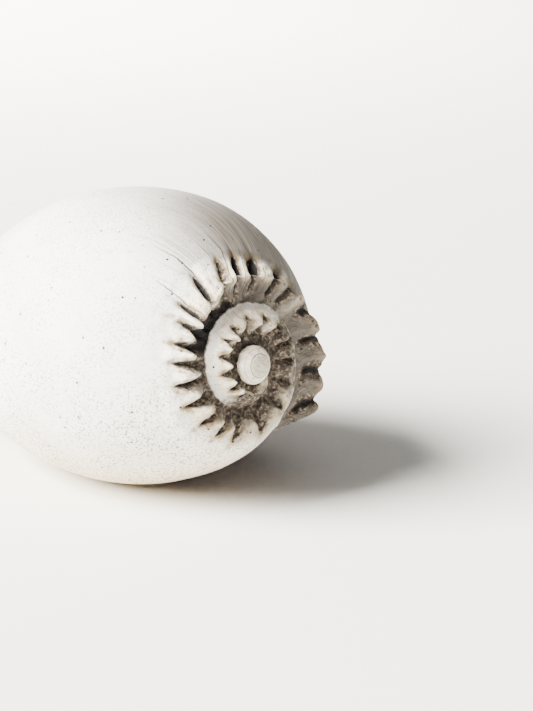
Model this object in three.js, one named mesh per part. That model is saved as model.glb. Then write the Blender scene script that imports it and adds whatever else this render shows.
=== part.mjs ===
// A bleached melon shell: a wide egg-shaped body whorl that coils clockwise seen from its tip,
// a crown of short spines round a sunken spire, a smooth domed first whorl at the centre, and a
// long open mouth underneath. The shell grew as one piece, so it is one solid.
//
// Millimetres, +Z up. The tip points along +X and a little upwards, the mouth faces down.
// Everything is first worked out round the coiling axis: a radius, a height along the axis
// (0 at the first whorl, growing towards the tip) and a turn. Turns count backwards from the lip:
// turn 0 is near the lip, turn 1 is one coil older.
import * as THREE from 'three';

// Body whorl: an egg drawn by z^a (1-z)^b, z running from 0 at the tip end to 1 at the front end,
// where it is cut short and rounded off bluntly
const BODY_LENGTH = 173;
const BODY_RADIUS = 77.7;
const BODY_GROWTH = 1.52;
const EGG_TIP_POWER = 0.59;
const EGG_FRONT_POWER = 1;
const EGG_CUT = 0.8;
const EGG_BLUNTNESS = 24;
const BODY_TOP_HEIGHT = 4.15;
const BODY_TOP_RISE = 5.07;

// Crown of spines and the seam where each coil meets the one before, both growing per turn
const COIL_GROWTH = 2.044;
const CROWN_RADIUS = 43.5;
const CROWN_HEIGHT = -2.55;
const CROWN_RISE = 3.56;
const SEAM_RADIUS = 30.9;
const SEAM_HEIGHT = -7.4;
const SEAM_RISE = 1.03;

// Spine valleys, as shares of the distance from a spine tip to its root
const NOTCH_SHARE = 0.5;
const GROOVE_SHARE = 0.13;
const ROOT_EGG_PLACE = 0.115;

// Where the next coil climbs over the spine roots, in turns, and the egg places that it bends
const COVER_START = 0.55;
const SEAM_EGG_PLACE = 0.1;
const BEND_END_PLACE = 0.3;

// The sunken ramp: its lowest bend on the way from seam to rim, and its sag over the seam's radius
const RAMP_BEND_RADIUS = 0.45;
const RAMP_BEND_HEIGHT = 0.25;
const RAMP_SAG = 0.06;
const RAMP_SAG_AT_RIDGE = 0.4;

// The smooth first whorl
const DOME_RADIUS = 7.9;
const SILT_DEPTH = 2.8;
const SILT_START = 0.75;
const SILT_FULL = 1.35;
const DOME_HEIGHT = 4.3;
const DOME_SEAM_SHARE = 0.83;
const DOME_CLIMB_TURNS = 0.2;
const DOME_EQUATOR_SHARE = 0.45;
const CROWN_FADE_START = 1.76;
const DOME_START = 2.03;
const LAST_TURN = 3.6;
const NUCLEUS_OFFSET = 0.9;
const NUCLEUS_TURNS_BACK = 0.75;

// Lip, hollow and pillar
const MOUTH_START = -0.12;
const CROWN_BLEND_TURNS = 0.22;
const FRONT_BLEND_TURNS = 0.6;
const FRONT_BLEND_START = 0.15;
const FRONT_BLEND_END = 0.6;
const LIP_THICKNESS = 1.7;
const WALL_THICKNESS = 2.6;
const WALL_BLEND_TURNS = 0.2;
const WALL_THINNING = 0.4;
const WALL_THINNING_START = 0.5;
const PILLAR_RADIUS = 9;
const PILLAR_SOFTNESS = 2;
const HOLLOW_TURNS = 2.3;
const HOLLOW_ROWS = 56;
const HOLLOW_ROUNDNESS = 5;
const CORNER_DROP = 2.4;
const CORNER_GAP = 1.4;
const ROOF_BEND_RADIUS = 0.5;

// How the older coils and the hollow get shorter towards the front: amount, first and last turn
const COIL_SHORTENING = [[0.3, 0, 0.24], [0.2, 0.2, 1.2]];
const HOLLOW_SHORTENING = [[0.07, 0, 0.3], [0.3, 1, 1.24], [0.3, 1.2, 2.3]];

// How the shell lies: tip raised, turn 0 below the level of the axis, a worn flat underneath
const TIP_RAISE = THREE.MathUtils.degToRad(6.9);
const TURN_ZERO_ANGLE = THREE.MathUtils.degToRad(-21.8);
const WORN_DEPTH = 1;

// Pull of a curve's two inner points: a third of the way makes it run straight, two thirds round a bend
const STRAIGHT_PULL = 1 / 3;
const ROUND_PULL = 2 / 3;
const SLOPE_STEP = 0.02;

const SHELL_WHITE = 0xe9e6df;

// Spines from the lip backwards: turn, extra reach in millimetres, fullness (1 pointed, 3 square)
const SPINES = [
  [-0.040, 0.0, 2.3], [0.000, 0.0, 2.3], [0.048, 0.8, 2.4], [0.094, 0.4, 2.4], [0.152, 2.2, 2.0],
  [0.200, 2.2, 2.0], [0.245, 0.6, 2.2], [0.305, 0.0, 2.0], [0.343, -1.8, 2.0], [0.380, 0.8, 4.0],
  [0.421, 0.0, 4.0], [0.457, -1.6, 2.3], [0.483, 1.2, 2.0], [0.516, 0.2, 2.0], [0.560, 0.8, 2.0],
  [0.607, 1.4, 2.0], [0.648, 0.0, 2.0], [0.693, 0.4, 2.3], [0.742, -0.8, 2.3], [0.811, 0.6, 2.3],
  [0.880, 0.0, 2.3], [0.945, 0.0, 2.3], [1.013, 0.6, 2.3], [1.071, 0.0, 2.3], [1.126, 0.4, 2.0],
  [1.200, 1.0, 2.0], [1.272, 1.2, 2.0], [1.352, -0.6, 2.0], [1.408, 0.2, 2.0], [1.465, 0.8, 2.0],
  [1.535, 0.8, 2.0], [1.612, 0.2, 2.0], [1.678, 0.2, 2.0], [1.749, 0.0, 2.0], [1.830, 0.0, 2.0],
];
const ROWS_PER_SPINE = 4;
const SPINES_PER_TURN = 20;

// How far the lip stands back from the mouth start, in turns, along the egg from tip to front end
const LIP_LINE = [
  [0.00, 0.080], [0.13, 0.096], [0.22, 0.098], [0.31, 0.091], [0.39, 0.075], [0.47, 0.062],
  [0.55, 0.059], [0.63, 0.058], [0.71, 0.051], [0.78, 0.046], [0.85, 0.060], [0.91, 0.110],
  [1.00, 0.230],
];

// Places across one coil: seam to rim, rim to spine root, then down the egg to the front end
const RAMP_STEPS = [0, 0.4, 0.75];
const SPINE_STEPS = [0, 0.34, 0.67, 1];
const EGG_STEPS = [0.18, 0.24, 0.31, 0.39, 0.47, 0.55, 0.63, 0.71, 0.78, 0.85, 0.91, 0.96, 1];
const ROOT_COLUMN = RAMP_STEPS.length + SPINE_STEPS.length - 1;
const END_COLUMN = ROOT_COLUMN + EGG_STEPS.length;
const TURN_ROWS = ROWS_PER_SPINE * SPINES_PER_TURN;

const { lerp, smoothstep, clamp } = THREE.MathUtils;

function mixPoint(a, b, share) {
  return a.clone().lerp(b, share);
}

// Radius of the egg as a share of its greatest radius
function eggShare(z) {
  const widest = EGG_TIP_POWER / (EGG_TIP_POWER + EGG_FRONT_POWER);
  const greatest = widest ** EGG_TIP_POWER * (1 - widest) ** EGG_FRONT_POWER;
  const inside = clamp(z, 0, 1);
  const egg = (inside * EGG_CUT) ** EGG_TIP_POWER * (1 - inside * EGG_CUT) ** EGG_FRONT_POWER;
  return (egg / greatest) * Math.sqrt(1 - inside ** EGG_BLUNTNESS);
}

function eggHeight(turn, z) {
  return BODY_TOP_HEIGHT + BODY_TOP_RISE * turn * (1 - z) - BODY_LENGTH * z;
}

// Outer surface of the body whorl, as radius and height
function bodyPoint(turn, z) {
  return new THREE.Vector2(BODY_RADIUS * BODY_GROWTH ** -turn * eggShare(z), eggHeight(turn, z));
}

// What is left of a length after its shortenings
function shortened(table, depth) {
  return table.reduce((left, [amount, start, end]) => left - amount * smoothstep(depth, start, end), 1);
}

// The previous coil and the pillar, seen only through the mouth
function innerCoilPoint(turn, z) {
  const depth = Math.max(turn - MOUTH_START - 1, 0);
  const start = BODY_RADIUS * BODY_GROWTH ** -(MOUTH_START + 1);
  const coil = start * COIL_GROWTH ** -depth * eggShare(z / shortened(COIL_SHORTENING, depth));
  const pillar = PILLAR_RADIUS * Math.sqrt(1 - z);
  const larger = (coil + pillar + Math.hypot(coil - pillar, PILLAR_SOFTNESS * (1 - z))) / 2;
  return new THREE.Vector2(depth > 0 ? larger : coil, eggHeight(turn, z));
}

// Seam of the coil: a growing spiral, then a climb up the side of the first whorl
function domePath(place) {
  if (place <= 0) {
    const turn = place + 2;
    const silt = SILT_DEPTH * smoothstep(turn, SILT_START, SILT_FULL);
    return new THREE.Vector2(SEAM_RADIUS * COIL_GROWTH ** -turn, SEAM_HEIGHT + SEAM_RISE * turn + silt);
  }
  const foot = domePath(0);
  if (place < DOME_EQUATOR_SHARE) {
    const rise = place / DOME_EQUATOR_SHARE;
    return new THREE.Vector2(lerp(foot.x, DOME_RADIUS, Math.sqrt(rise)), lerp(foot.y, 0, rise));
  }
  const angle = ((place - DOME_EQUATOR_SHARE) / (1 - DOME_EQUATOR_SHARE)) * (Math.PI / 2);
  return new THREE.Vector2(DOME_RADIUS * Math.cos(angle), DOME_HEIGHT * Math.sin(angle));
}

function domePlace(turn) {
  if (turn <= 2) {
    return turn - 2;
  }
  return DOME_SEAM_SHARE * (1 - Math.exp(-(turn - 2) / DOME_CLIMB_TURNS));
}

function seamPoint(turn) {
  return domePath(domePlace(turn));
}

// How near a turn is to a spine ridge (1) or to a valley (0), and the extra reach there
function spineAt(turn) {
  let after = SPINES.findIndex(([place]) => place > turn);
  after = after < 0 ? SPINES.length - 1 : Math.max(after, 1);
  const [startTurn, startReach, startFullness] = SPINES[after - 1];
  const [endTurn, endReach, endFullness] = SPINES[after];
  const share = clamp((turn - startTurn) / (endTurn - startTurn), 0, 1);
  const fullness = share < 0.5 ? startFullness : endFullness;
  const fromRidge = 2 * Math.min(share, 1 - share);
  return { ridge: 1 - fromRidge ** fullness, reach: lerp(startReach, endReach, share) };
}

function bezier(a, b, c, d, t) {
  const s = 1 - t;
  return a.clone().multiplyScalar(s * s * s)
    .addScaledVector(b, 3 * s * s * t)
    .addScaledVector(c, 3 * s * t * t)
    .addScaledVector(d, t * t * t);
}

// How far the next coil covers the spine roots at a turn
function coverAt(turn) {
  return smoothstep(turn, COVER_START, 1 + MOUTH_START);
}

// Root of the spines: on the body egg, sliding up to the seam where the next coil covers it
function rootPoint(turn) {
  const covered = coverAt(turn);
  const open = bodyPoint(turn, lerp(ROOT_EGG_PLACE, SEAM_EGG_PLACE, covered));
  return mixPoint(open, seamPoint(turn - 1), covered);
}

// Ridge line of a spine from its tip (0) down to its root (1)
function ridgePoint(turn, reach, share) {
  const root = rootPoint(turn);
  const tip = new THREE.Vector2(CROWN_RADIUS * COIL_GROWTH ** -turn, CROWN_HEIGHT + CROWN_RISE * turn);
  const along = tip.clone().sub(root);
  const length = along.length();
  tip.addScaledVector(along.clone().normalize(), reach);
  const above = bodyPoint(turn, SEAM_EGG_PLACE - SLOPE_STEP / 2);
  const flank = bodyPoint(turn, SEAM_EGG_PLACE + SLOPE_STEP / 2).sub(above).normalize();
  const nearTip = mixPoint(tip, root, STRAIGHT_PULL);
  const nearRoot = root.clone().addScaledVector(flank, -STRAIGHT_PULL * length);
  return bezier(tip, nearTip, nearRoot, root, share);
}

// Outer surface between the rim of the crown (0) and the spine roots (1), valleys cut back
function crownPoint(turn, spine, share) {
  const { ridge, reach } = spine;
  const cut = NOTCH_SHARE * (1 - ridge);
  const place = lerp(cut, 1, share);
  const point = ridgePoint(turn, reach, place);
  const ahead = Math.min(place + SLOPE_STEP, 1);
  const behind = ridgePoint(turn, reach, ahead - SLOPE_STEP);
  const along = ridgePoint(turn, reach, ahead).sub(behind).normalize();
  const inward = new THREE.Vector2(along.y, -along.x);
  const length = ridgePoint(turn, 0, 0).distanceTo(rootPoint(turn));
  return point.addScaledVector(inward, GROOVE_SHARE * length * (1 - ridge) * (1 - share));
}

// The sunken ramp between the seam (0) and the rim of the crown (1)
function rampPoint(turn, spine, share) {
  const seam = seamPoint(turn);
  const rim = crownPoint(turn, spine, 0);
  const sag = RAMP_SAG * seam.x * (1 - spine.ridge + RAMP_SAG_AT_RIDGE);
  const bend = new THREE.Vector2(
    lerp(seam.x, rim.x, RAMP_BEND_RADIUS),
    lerp(seam.y, rim.y, RAMP_BEND_HEIGHT) - sag,
  );
  return bezier(seam, mixPoint(seam, bend, ROUND_PULL), mixPoint(rim, bend, ROUND_PULL), rim, share);
}

// Any place on the outside: columns run from the seam over the crown and down the egg
function outerPoint(turn, column, spine) {
  if (column > ROOT_COLUMN) {
    const z = EGG_STEPS[column - ROOT_COLUMN - 1];
    const pull = rootPoint(turn).sub(bodyPoint(turn, SEAM_EGG_PLACE));
    const hold = coverAt(turn) * (1 - smoothstep(z, SEAM_EGG_PLACE, BEND_END_PLACE));
    return bodyPoint(turn, z).addScaledVector(pull, hold);
  }
  const share = column / ROOT_COLUMN;
  const flat = domePath(lerp(domePlace(turn), domePlace(turn - 1), share));
  const fade = smoothstep(turn, CROWN_FADE_START, DOME_START);
  if (fade >= 1) {
    return flat;
  }
  const onRamp = column < RAMP_STEPS.length;
  const raised = onRamp
    ? rampPoint(turn, spine, RAMP_STEPS[column])
    : crownPoint(turn, spine, SPINE_STEPS[column - RAMP_STEPS.length]);
  return mixPoint(raised, flat, fade);
}

function columnEggPlace(column) {
  return column > ROOT_COLUMN ? EGG_STEPS[column - ROOT_COLUMN - 1] : 0;
}

// Distance the lip stands back at a column
function lipSetback(column) {
  if (column < RAMP_STEPS.length) {
    return LIP_LINE[0][1] * RAMP_STEPS[column];
  }
  const z = column > ROOT_COLUMN
    ? columnEggPlace(column)
    : ROOT_EGG_PLACE * SPINE_STEPS[column - RAMP_STEPS.length];
  const after = Math.max(LIP_LINE.findIndex(([place]) => place >= z), 1);
  const [startPlace, start] = LIP_LINE[after - 1];
  const [endPlace, end] = LIP_LINE[after];
  return lerp(start, end, smoothstep(z, startPlace, endPlace));
}

// Rows near the mouth lean to follow the lip
function leaningTurn(rowTurn, column) {
  const frontness = smoothstep(columnEggPlace(column), FRONT_BLEND_START, FRONT_BLEND_END);
  const blend = lerp(CROWN_BLEND_TURNS, FRONT_BLEND_TURNS, frontness);
  const share = clamp((rowTurn - MOUTH_START) / blend, 0, 1);
  return rowTurn + lipSetback(column) * (1 - share);
}

// Row turns for one coil, chosen so that ridges and valleys of the spines fall on rows
function coilRows() {
  const crownSetback = LIP_LINE[0][1];
  const squeeze = 1 - crownSetback / CROWN_BLEND_TURNS;
  const rows = [];
  for (let spine = 0; spine < SPINES_PER_TURN; spine += 1) {
    for (let step = 0; step < ROWS_PER_SPINE; step += 1) {
      const turn = lerp(SPINES[spine][0], SPINES[spine + 1][0], step / ROWS_PER_SPINE);
      const leaning = MOUTH_START + (turn - MOUTH_START - crownSetback) / squeeze;
      rows.push(turn < MOUTH_START + CROWN_BLEND_TURNS ? leaning : turn);
    }
  }
  return rows;
}

const positions = [];
const triangles = [];

// A place round the axis put into the resting frame
function addPoint(point, turn) {
  const angle = TURN_ZERO_ANGLE + 2 * Math.PI * turn;
  const side = point.x * Math.cos(angle);
  const lift = point.x * Math.sin(angle);
  positions.push(new THREE.Vector3(
    point.y * Math.cos(TIP_RAISE) - lift * Math.sin(TIP_RAISE),
    side,
    point.y * Math.sin(TIP_RAISE) + lift * Math.cos(TIP_RAISE),
  ));
  return positions.length - 1;
}

function addTriangle(a, b, c) {
  if (a !== b && b !== c && c !== a) {
    triangles.push(a, c, b);
  }
}

function addQuad(a, b, c, d) {
  addTriangle(a, b, c);
  addTriangle(a, c, d);
}

const frontEnd = addPoint(bodyPoint(0, 1), 0);

// Outside: body rows run from the seam to the front end, older rows stop at the next coil's seam
const firstCoil = coilRows();
const outer = [];
for (let row = 0; ; row += 1) {
  const rowTurn = firstCoil[row % TURN_ROWS] + Math.floor(row / TURN_ROWS);
  if (rowTurn > LAST_TURN) {
    break;
  }
  const line = [];
  const spine = spineAt(leaningTurn(rowTurn, RAMP_STEPS.length));
  const lastColumn = row <= TURN_ROWS ? END_COLUMN : ROOT_COLUMN;
  for (let column = 0; column <= lastColumn; column += 1) {
    if (column === END_COLUMN) {
      line.push(frontEnd);
    } else if (column === ROOT_COLUMN && row >= TURN_ROWS) {
      line.push(outer[row - TURN_ROWS][0]);
    } else {
      const turn = leaningTurn(rowTurn, column);
      line.push(addPoint(outerPoint(turn, column, spine), turn));
    }
  }
  outer.push(line);
}
for (let row = 0; row + 1 < outer.length; row += 1) {
  const columns = Math.min(outer[row].length, outer[row + 1].length) - 1;
  for (let column = 0; column < columns; column += 1) {
    const [line, next] = [outer[row], outer[row + 1]];
    addQuad(line[column], next[column], next[column + 1], line[column + 1]);
  }
}

// Top of the first whorl: a fan over the last coil and the step where it ends
const lastRow = outer.length - 1;
const lastTurn = firstCoil[lastRow % TURN_ROWS] + Math.floor(lastRow / TURN_ROWS);
const nucleus = addPoint(new THREE.Vector2(NUCLEUS_OFFSET, DOME_HEIGHT), lastTurn - NUCLEUS_TURNS_BACK);
for (let row = lastRow - TURN_ROWS; row < lastRow; row += 1) {
  addTriangle(outer[row][0], nucleus, outer[row + 1][0]);
}
for (let column = 0; column < ROOT_COLUMN; column += 1) {
  addTriangle(outer[lastRow][column], nucleus, outer[lastRow][column + 1]);
}

// The hollow: its outer wall follows the shell from inside, its inner wall is the coil before
function hollowPlace(depth, column) {
  const start = EGG_STEPS[0];
  const share = (EGG_STEPS[column - ROOT_COLUMN - 1] - start) / (1 - start);
  return { share, z: lerp(start, shortened(HOLLOW_SHORTENING, depth), share) };
}

function wallThickness(depth) {
  const grown = lerp(LIP_THICKNESS, WALL_THICKNESS, smoothstep(depth, 0, WALL_BLEND_TURNS));
  return grown * COIL_GROWTH ** (-WALL_THINNING * Math.max(depth - WALL_THINNING_START, 0));
}

function hollowOuterPoint(depth, turn, column) {
  const thickness = wallThickness(depth);
  const wallAt = (z) => {
    const shell = turn < 1 + MOUTH_START ? bodyPoint(turn, z) : innerCoilPoint(turn, z);
    return shell.add(new THREE.Vector2(-thickness, 0));
  };
  if (column > ROOT_COLUMN) {
    const { share, z } = hollowPlace(depth, column);
    return mixPoint(innerCoilPoint(turn + 1, z), wallAt(z), Math.sqrt(1 - share ** HOLLOW_ROUNDNESS));
  }
  const seam = seamPoint(turn);
  const drop = seam.y - thickness - CORNER_DROP;
  const corner = innerCoilPoint(turn + 1, (eggHeight(turn + 1, 0) - drop) / BODY_LENGTH);
  corner.x += CORNER_GAP;
  const end = wallAt(EGG_STEPS[0]);
  const roof = new THREE.Vector2(lerp(corner.x, end.x, ROOF_BEND_RADIUS), corner.y);
  const share = column / (ROOT_COLUMN + 1);
  return bezier(corner, mixPoint(corner, roof, ROUND_PULL), mixPoint(end, roof, ROUND_PULL), end, share);
}

const hollowOuter = [];
const hollowInner = [outer[TURN_ROWS]];
for (let row = 0; row <= HOLLOW_ROWS; row += 1) {
  const depth = (HOLLOW_TURNS * row) / HOLLOW_ROWS;
  const rowTurn = MOUTH_START + depth;
  const outerLine = [];
  const innerLine = [];
  for (let column = ROOT_COLUMN + 1; column <= END_COLUMN; column += 1) {
    const { z } = hollowPlace(depth, column);
    if (row > 0) {
      innerLine[column] = addPoint(innerCoilPoint(rowTurn + 1, z), rowTurn + 1);
    }
  }
  if (row > 0) {
    hollowInner.push(innerLine);
  }
  for (let column = 0; column < END_COLUMN; column += 1) {
    const turn = leaningTurn(rowTurn, column);
    outerLine.push(addPoint(hollowOuterPoint(depth, turn, column), turn));
  }
  outerLine.push(hollowInner[row][END_COLUMN]);
  hollowOuter.push(outerLine);
}
for (let row = 0; row < HOLLOW_ROWS; row += 1) {
  const [wall, deeperWall] = [hollowOuter[row], hollowOuter[row + 1]];
  const [coil, deeperCoil] = [hollowInner[row], hollowInner[row + 1]];
  for (let column = 0; column < END_COLUMN; column += 1) {
    addQuad(wall[column], wall[column + 1], deeperWall[column + 1], deeperWall[column]);
  }
  for (let column = ROOT_COLUMN + 1; column < END_COLUMN; column += 1) {
    addQuad(coil[column], deeperCoil[column], deeperCoil[column + 1], coil[column + 1]);
  }
  const first = ROOT_COLUMN + 1;
  addQuad(coil[first], wall[0], deeperWall[0], deeperCoil[first]);
}

// Blind end of the hollow
const deepWall = hollowOuter[HOLLOW_ROWS];
const deepCoil = hollowInner[HOLLOW_ROWS];
const loop = [...deepWall, ...deepCoil.slice(ROOT_COLUMN + 1, END_COLUMN).reverse()];
const blindEnd = new THREE.Vector3();
loop.forEach((index) => blindEnd.addScaledVector(positions[index], 1 / loop.length));
positions.push(blindEnd);
const blindIndex = positions.length - 1;
loop.forEach((index, place) => addTriangle(index, loop[(place + 1) % loop.length], blindIndex));

// Lip: a narrow edge between the outside and the hollow, closed at the corner by the seam
for (let column = 0; column < END_COLUMN; column += 1) {
  addQuad(outer[0][column], outer[0][column + 1], hollowOuter[0][column + 1], hollowOuter[0][column]);
}
addTriangle(outer[0][0], hollowOuter[0][0], outer[TURN_ROWS][ROOT_COLUMN + 1]);

// Set the shell down: a small worn flat at the floor, the origin under the middle of its box
const box = new THREE.Box3().setFromPoints(positions);
const floor = box.min.z + WORN_DEPTH;
const middle = box.getCenter(new THREE.Vector3());
const coordinates = positions.flatMap((point) => [
  point.x - middle.x,
  point.y - middle.y,
  Math.max(point.z - floor, 0),
]);

const geometry = new THREE.BufferGeometry();
geometry.setAttribute('position', new THREE.Float32BufferAttribute(coordinates, 3));
geometry.setIndex(triangles);
geometry.computeVertexNormals();

const bleachedShell = new THREE.MeshStandardMaterial({ color: SHELL_WHITE, roughness: 0.8, metalness: 0 });
const shell = new THREE.Mesh(geometry, bleachedShell);
shell.name = 'shell';

const group = new THREE.Group();
group.add(shell);

export default group;
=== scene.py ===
"""A bleached melon shell lying on a pale floor, seen from the crown of spines at its tip.

The shell is one surface worked out round its coiling axis. Every place on it has a turn, counted
backwards from the lip, and a profile point: a radius from the axis and a height along it. Sizes
are millimetres until a mesh is made.
"""

import logging
import math
from dataclasses import dataclass, field
from enum import Enum

import bpy
import numpy as np
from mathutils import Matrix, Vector


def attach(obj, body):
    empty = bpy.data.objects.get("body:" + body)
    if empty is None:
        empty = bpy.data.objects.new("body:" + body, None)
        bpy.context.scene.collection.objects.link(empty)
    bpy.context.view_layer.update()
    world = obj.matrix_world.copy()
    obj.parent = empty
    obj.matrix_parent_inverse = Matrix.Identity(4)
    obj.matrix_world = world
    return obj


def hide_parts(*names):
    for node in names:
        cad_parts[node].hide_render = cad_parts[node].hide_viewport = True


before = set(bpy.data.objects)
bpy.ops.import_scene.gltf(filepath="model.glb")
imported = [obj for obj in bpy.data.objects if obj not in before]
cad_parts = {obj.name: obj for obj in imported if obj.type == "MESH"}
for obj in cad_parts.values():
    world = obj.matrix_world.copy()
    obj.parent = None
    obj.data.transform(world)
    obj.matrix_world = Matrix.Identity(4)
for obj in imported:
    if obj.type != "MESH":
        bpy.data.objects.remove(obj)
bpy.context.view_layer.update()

LOG = logging.getLogger("melon_shell")
# One millimetre in metres.
MM = 0.001
GROWTH_UV = "growth"
Array = np.ndarray
Range = tuple[float, float]
Triples = tuple[tuple[float, float, float], ...]
Tree = bpy.types.NodeTree
Socket = bpy.types.NodeSocket
# Sockets of a Map Range node, then the two colours of a Mix node and its settings for colours.
VALUE, FROM_LOW, FROM_HIGH, TO_LOW, TO_HIGH = range(5)
FIRST, SECOND = 6, 7
COLOUR_MIX = {"out": 2, "data_type": "RGBA"}


class Mask(Enum):
    """Names of the painted layers that the shell's finish reads."""

    # The grime layer is dirt, and where it runs high it paints near-black shade in the deepest hollows.
    GRIME_AND_SHADE = "grime_and_shade"
    # The film layer is a grey-brown film, and painted shade on the shaded flank and the top of the ramp.
    FILM_AND_SHADE = "film_and_shade"
    OCHRE = "ochre"
    CREAM = "cream"
    LINES = "lines"
    PITS = "pits"
    INSIDE = "inside"


def mix(start: Array, end: Array, share: Array) -> Array:
    """Straight blend from start (share 0) to end (share 1)."""
    return start + (end - start) * share


def ease(value: Array, low: float, high: float) -> Array:
    """Ease from 0 at low to 1 at high by 3s^2 - 2s^3."""
    share = np.clip((value - low) / (high - low), 0.0, 1.0)
    return share * share * (3.0 - 2.0 * share)


def window(value: Array, rise: Range, fall: Range) -> Array:
    """1 between an eased rise and an eased fall, 0 outside them."""
    return ease(value, *rise) * (1.0 - ease(value, *fall))


def bell(value: Array, middle: float, width: float) -> Array:
    """1 at the middle, falling by exp(-d^2) with the distance d counted in widths."""
    return np.exp(-(((value - middle) / width) ** 2))


def shortened(steps: Triples, depth: Array) -> Array:
    """1 less the amount of each step, eased in from its first depth to its last."""
    return 1.0 - sum(amount * ease(depth, first, last) for amount, first, last in steps)


def bezier(a: Array, b: Array, c: Array, d: Array, share: Array) -> Array:
    """Cubic curve through a and d, pulled towards b and c."""
    rest = 1.0 - share
    return rest**3 * a + 3 * rest**2 * share * b + 3 * rest * share**2 * c + share**3 * d


def linear_colour(hex_code: str) -> tuple[float, float, float, float]:
    """Turn an sRGB hex colour into linear red, green, blue and full opacity.

    Args:
        hex_code: six hex digits, with or without a leading mark.

    Returns:
        Four linear values for a shader socket.
    """
    digits = hex_code.lstrip("#")
    # The numbers are those of the sRGB curve.
    values = [int(digits[place : place + 2], 16) / 255 for place in (0, 2, 4)]
    linear = [v / 12.92 if v <= 0.04045 else ((v + 0.055) / 1.055) ** 2.4 for v in values]
    return (*linear, 1.0)


def lattice_noise(points: Array, cell: float, seed: int) -> Array:
    """Smooth random values from -1 to 1, one random number per lattice corner.

    The eight corners round a point are blended with eased shares of its place in the cell.

    Args:
        points: places in millimetres, last axis x, y, z.
        cell: size of one lattice cell in millimetres.
        seed: choice of random numbers.

    Returns:
        One value per point.
    """
    table_size = 1024
    random = np.random.default_rng(seed)
    order = random.permutation(table_size)
    values = random.uniform(-1.0, 1.0, table_size)
    scaled = points / cell
    corner = np.floor(scaled).astype(np.int64)
    share = ease(scaled - corner, 0.0, 1.0)
    total = np.zeros(points.shape[:-1])
    for dx in (0, 1):
        for dy in (0, 1):
            for dz in (0, 1):
                mixed = order[(corner[..., 2] + dz) % table_size]
                mixed = order[(corner[..., 1] + dy + mixed) % table_size]
                mixed = order[(corner[..., 0] + dx + mixed) % table_size]
                weight_x = share[..., 0] if dx else 1.0 - share[..., 0]
                weight_y = share[..., 1] if dy else 1.0 - share[..., 1]
                weight_z = share[..., 2] if dz else 1.0 - share[..., 2]
                total += values[mixed] * weight_x * weight_y * weight_z
    return total


def add_node(
    tree: Tree, kind: str, links: dict | None = None, out: int | str | None = 0, **settings: object
) -> Socket | None:
    """Add one shader node with its settings and links.

    Args:
        tree: node tree that takes the node.
        kind: Blender's node type name.
        links: input name or number to a socket of another node, or to a plain value.
        out: name or number of the output that is wanted.
        settings: properties of the node itself.

    Returns:
        The wanted output, if any.
    """
    node = tree.nodes.new(kind)
    for name, value in settings.items():
        setattr(node, name, value)
    for name, value in (links or {}).items():
        if isinstance(value, Socket):
            tree.links.new(value, node.inputs[name])
        else:
            node.inputs[name].default_value = value
    return None if out is None else node.outputs[out]


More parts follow.
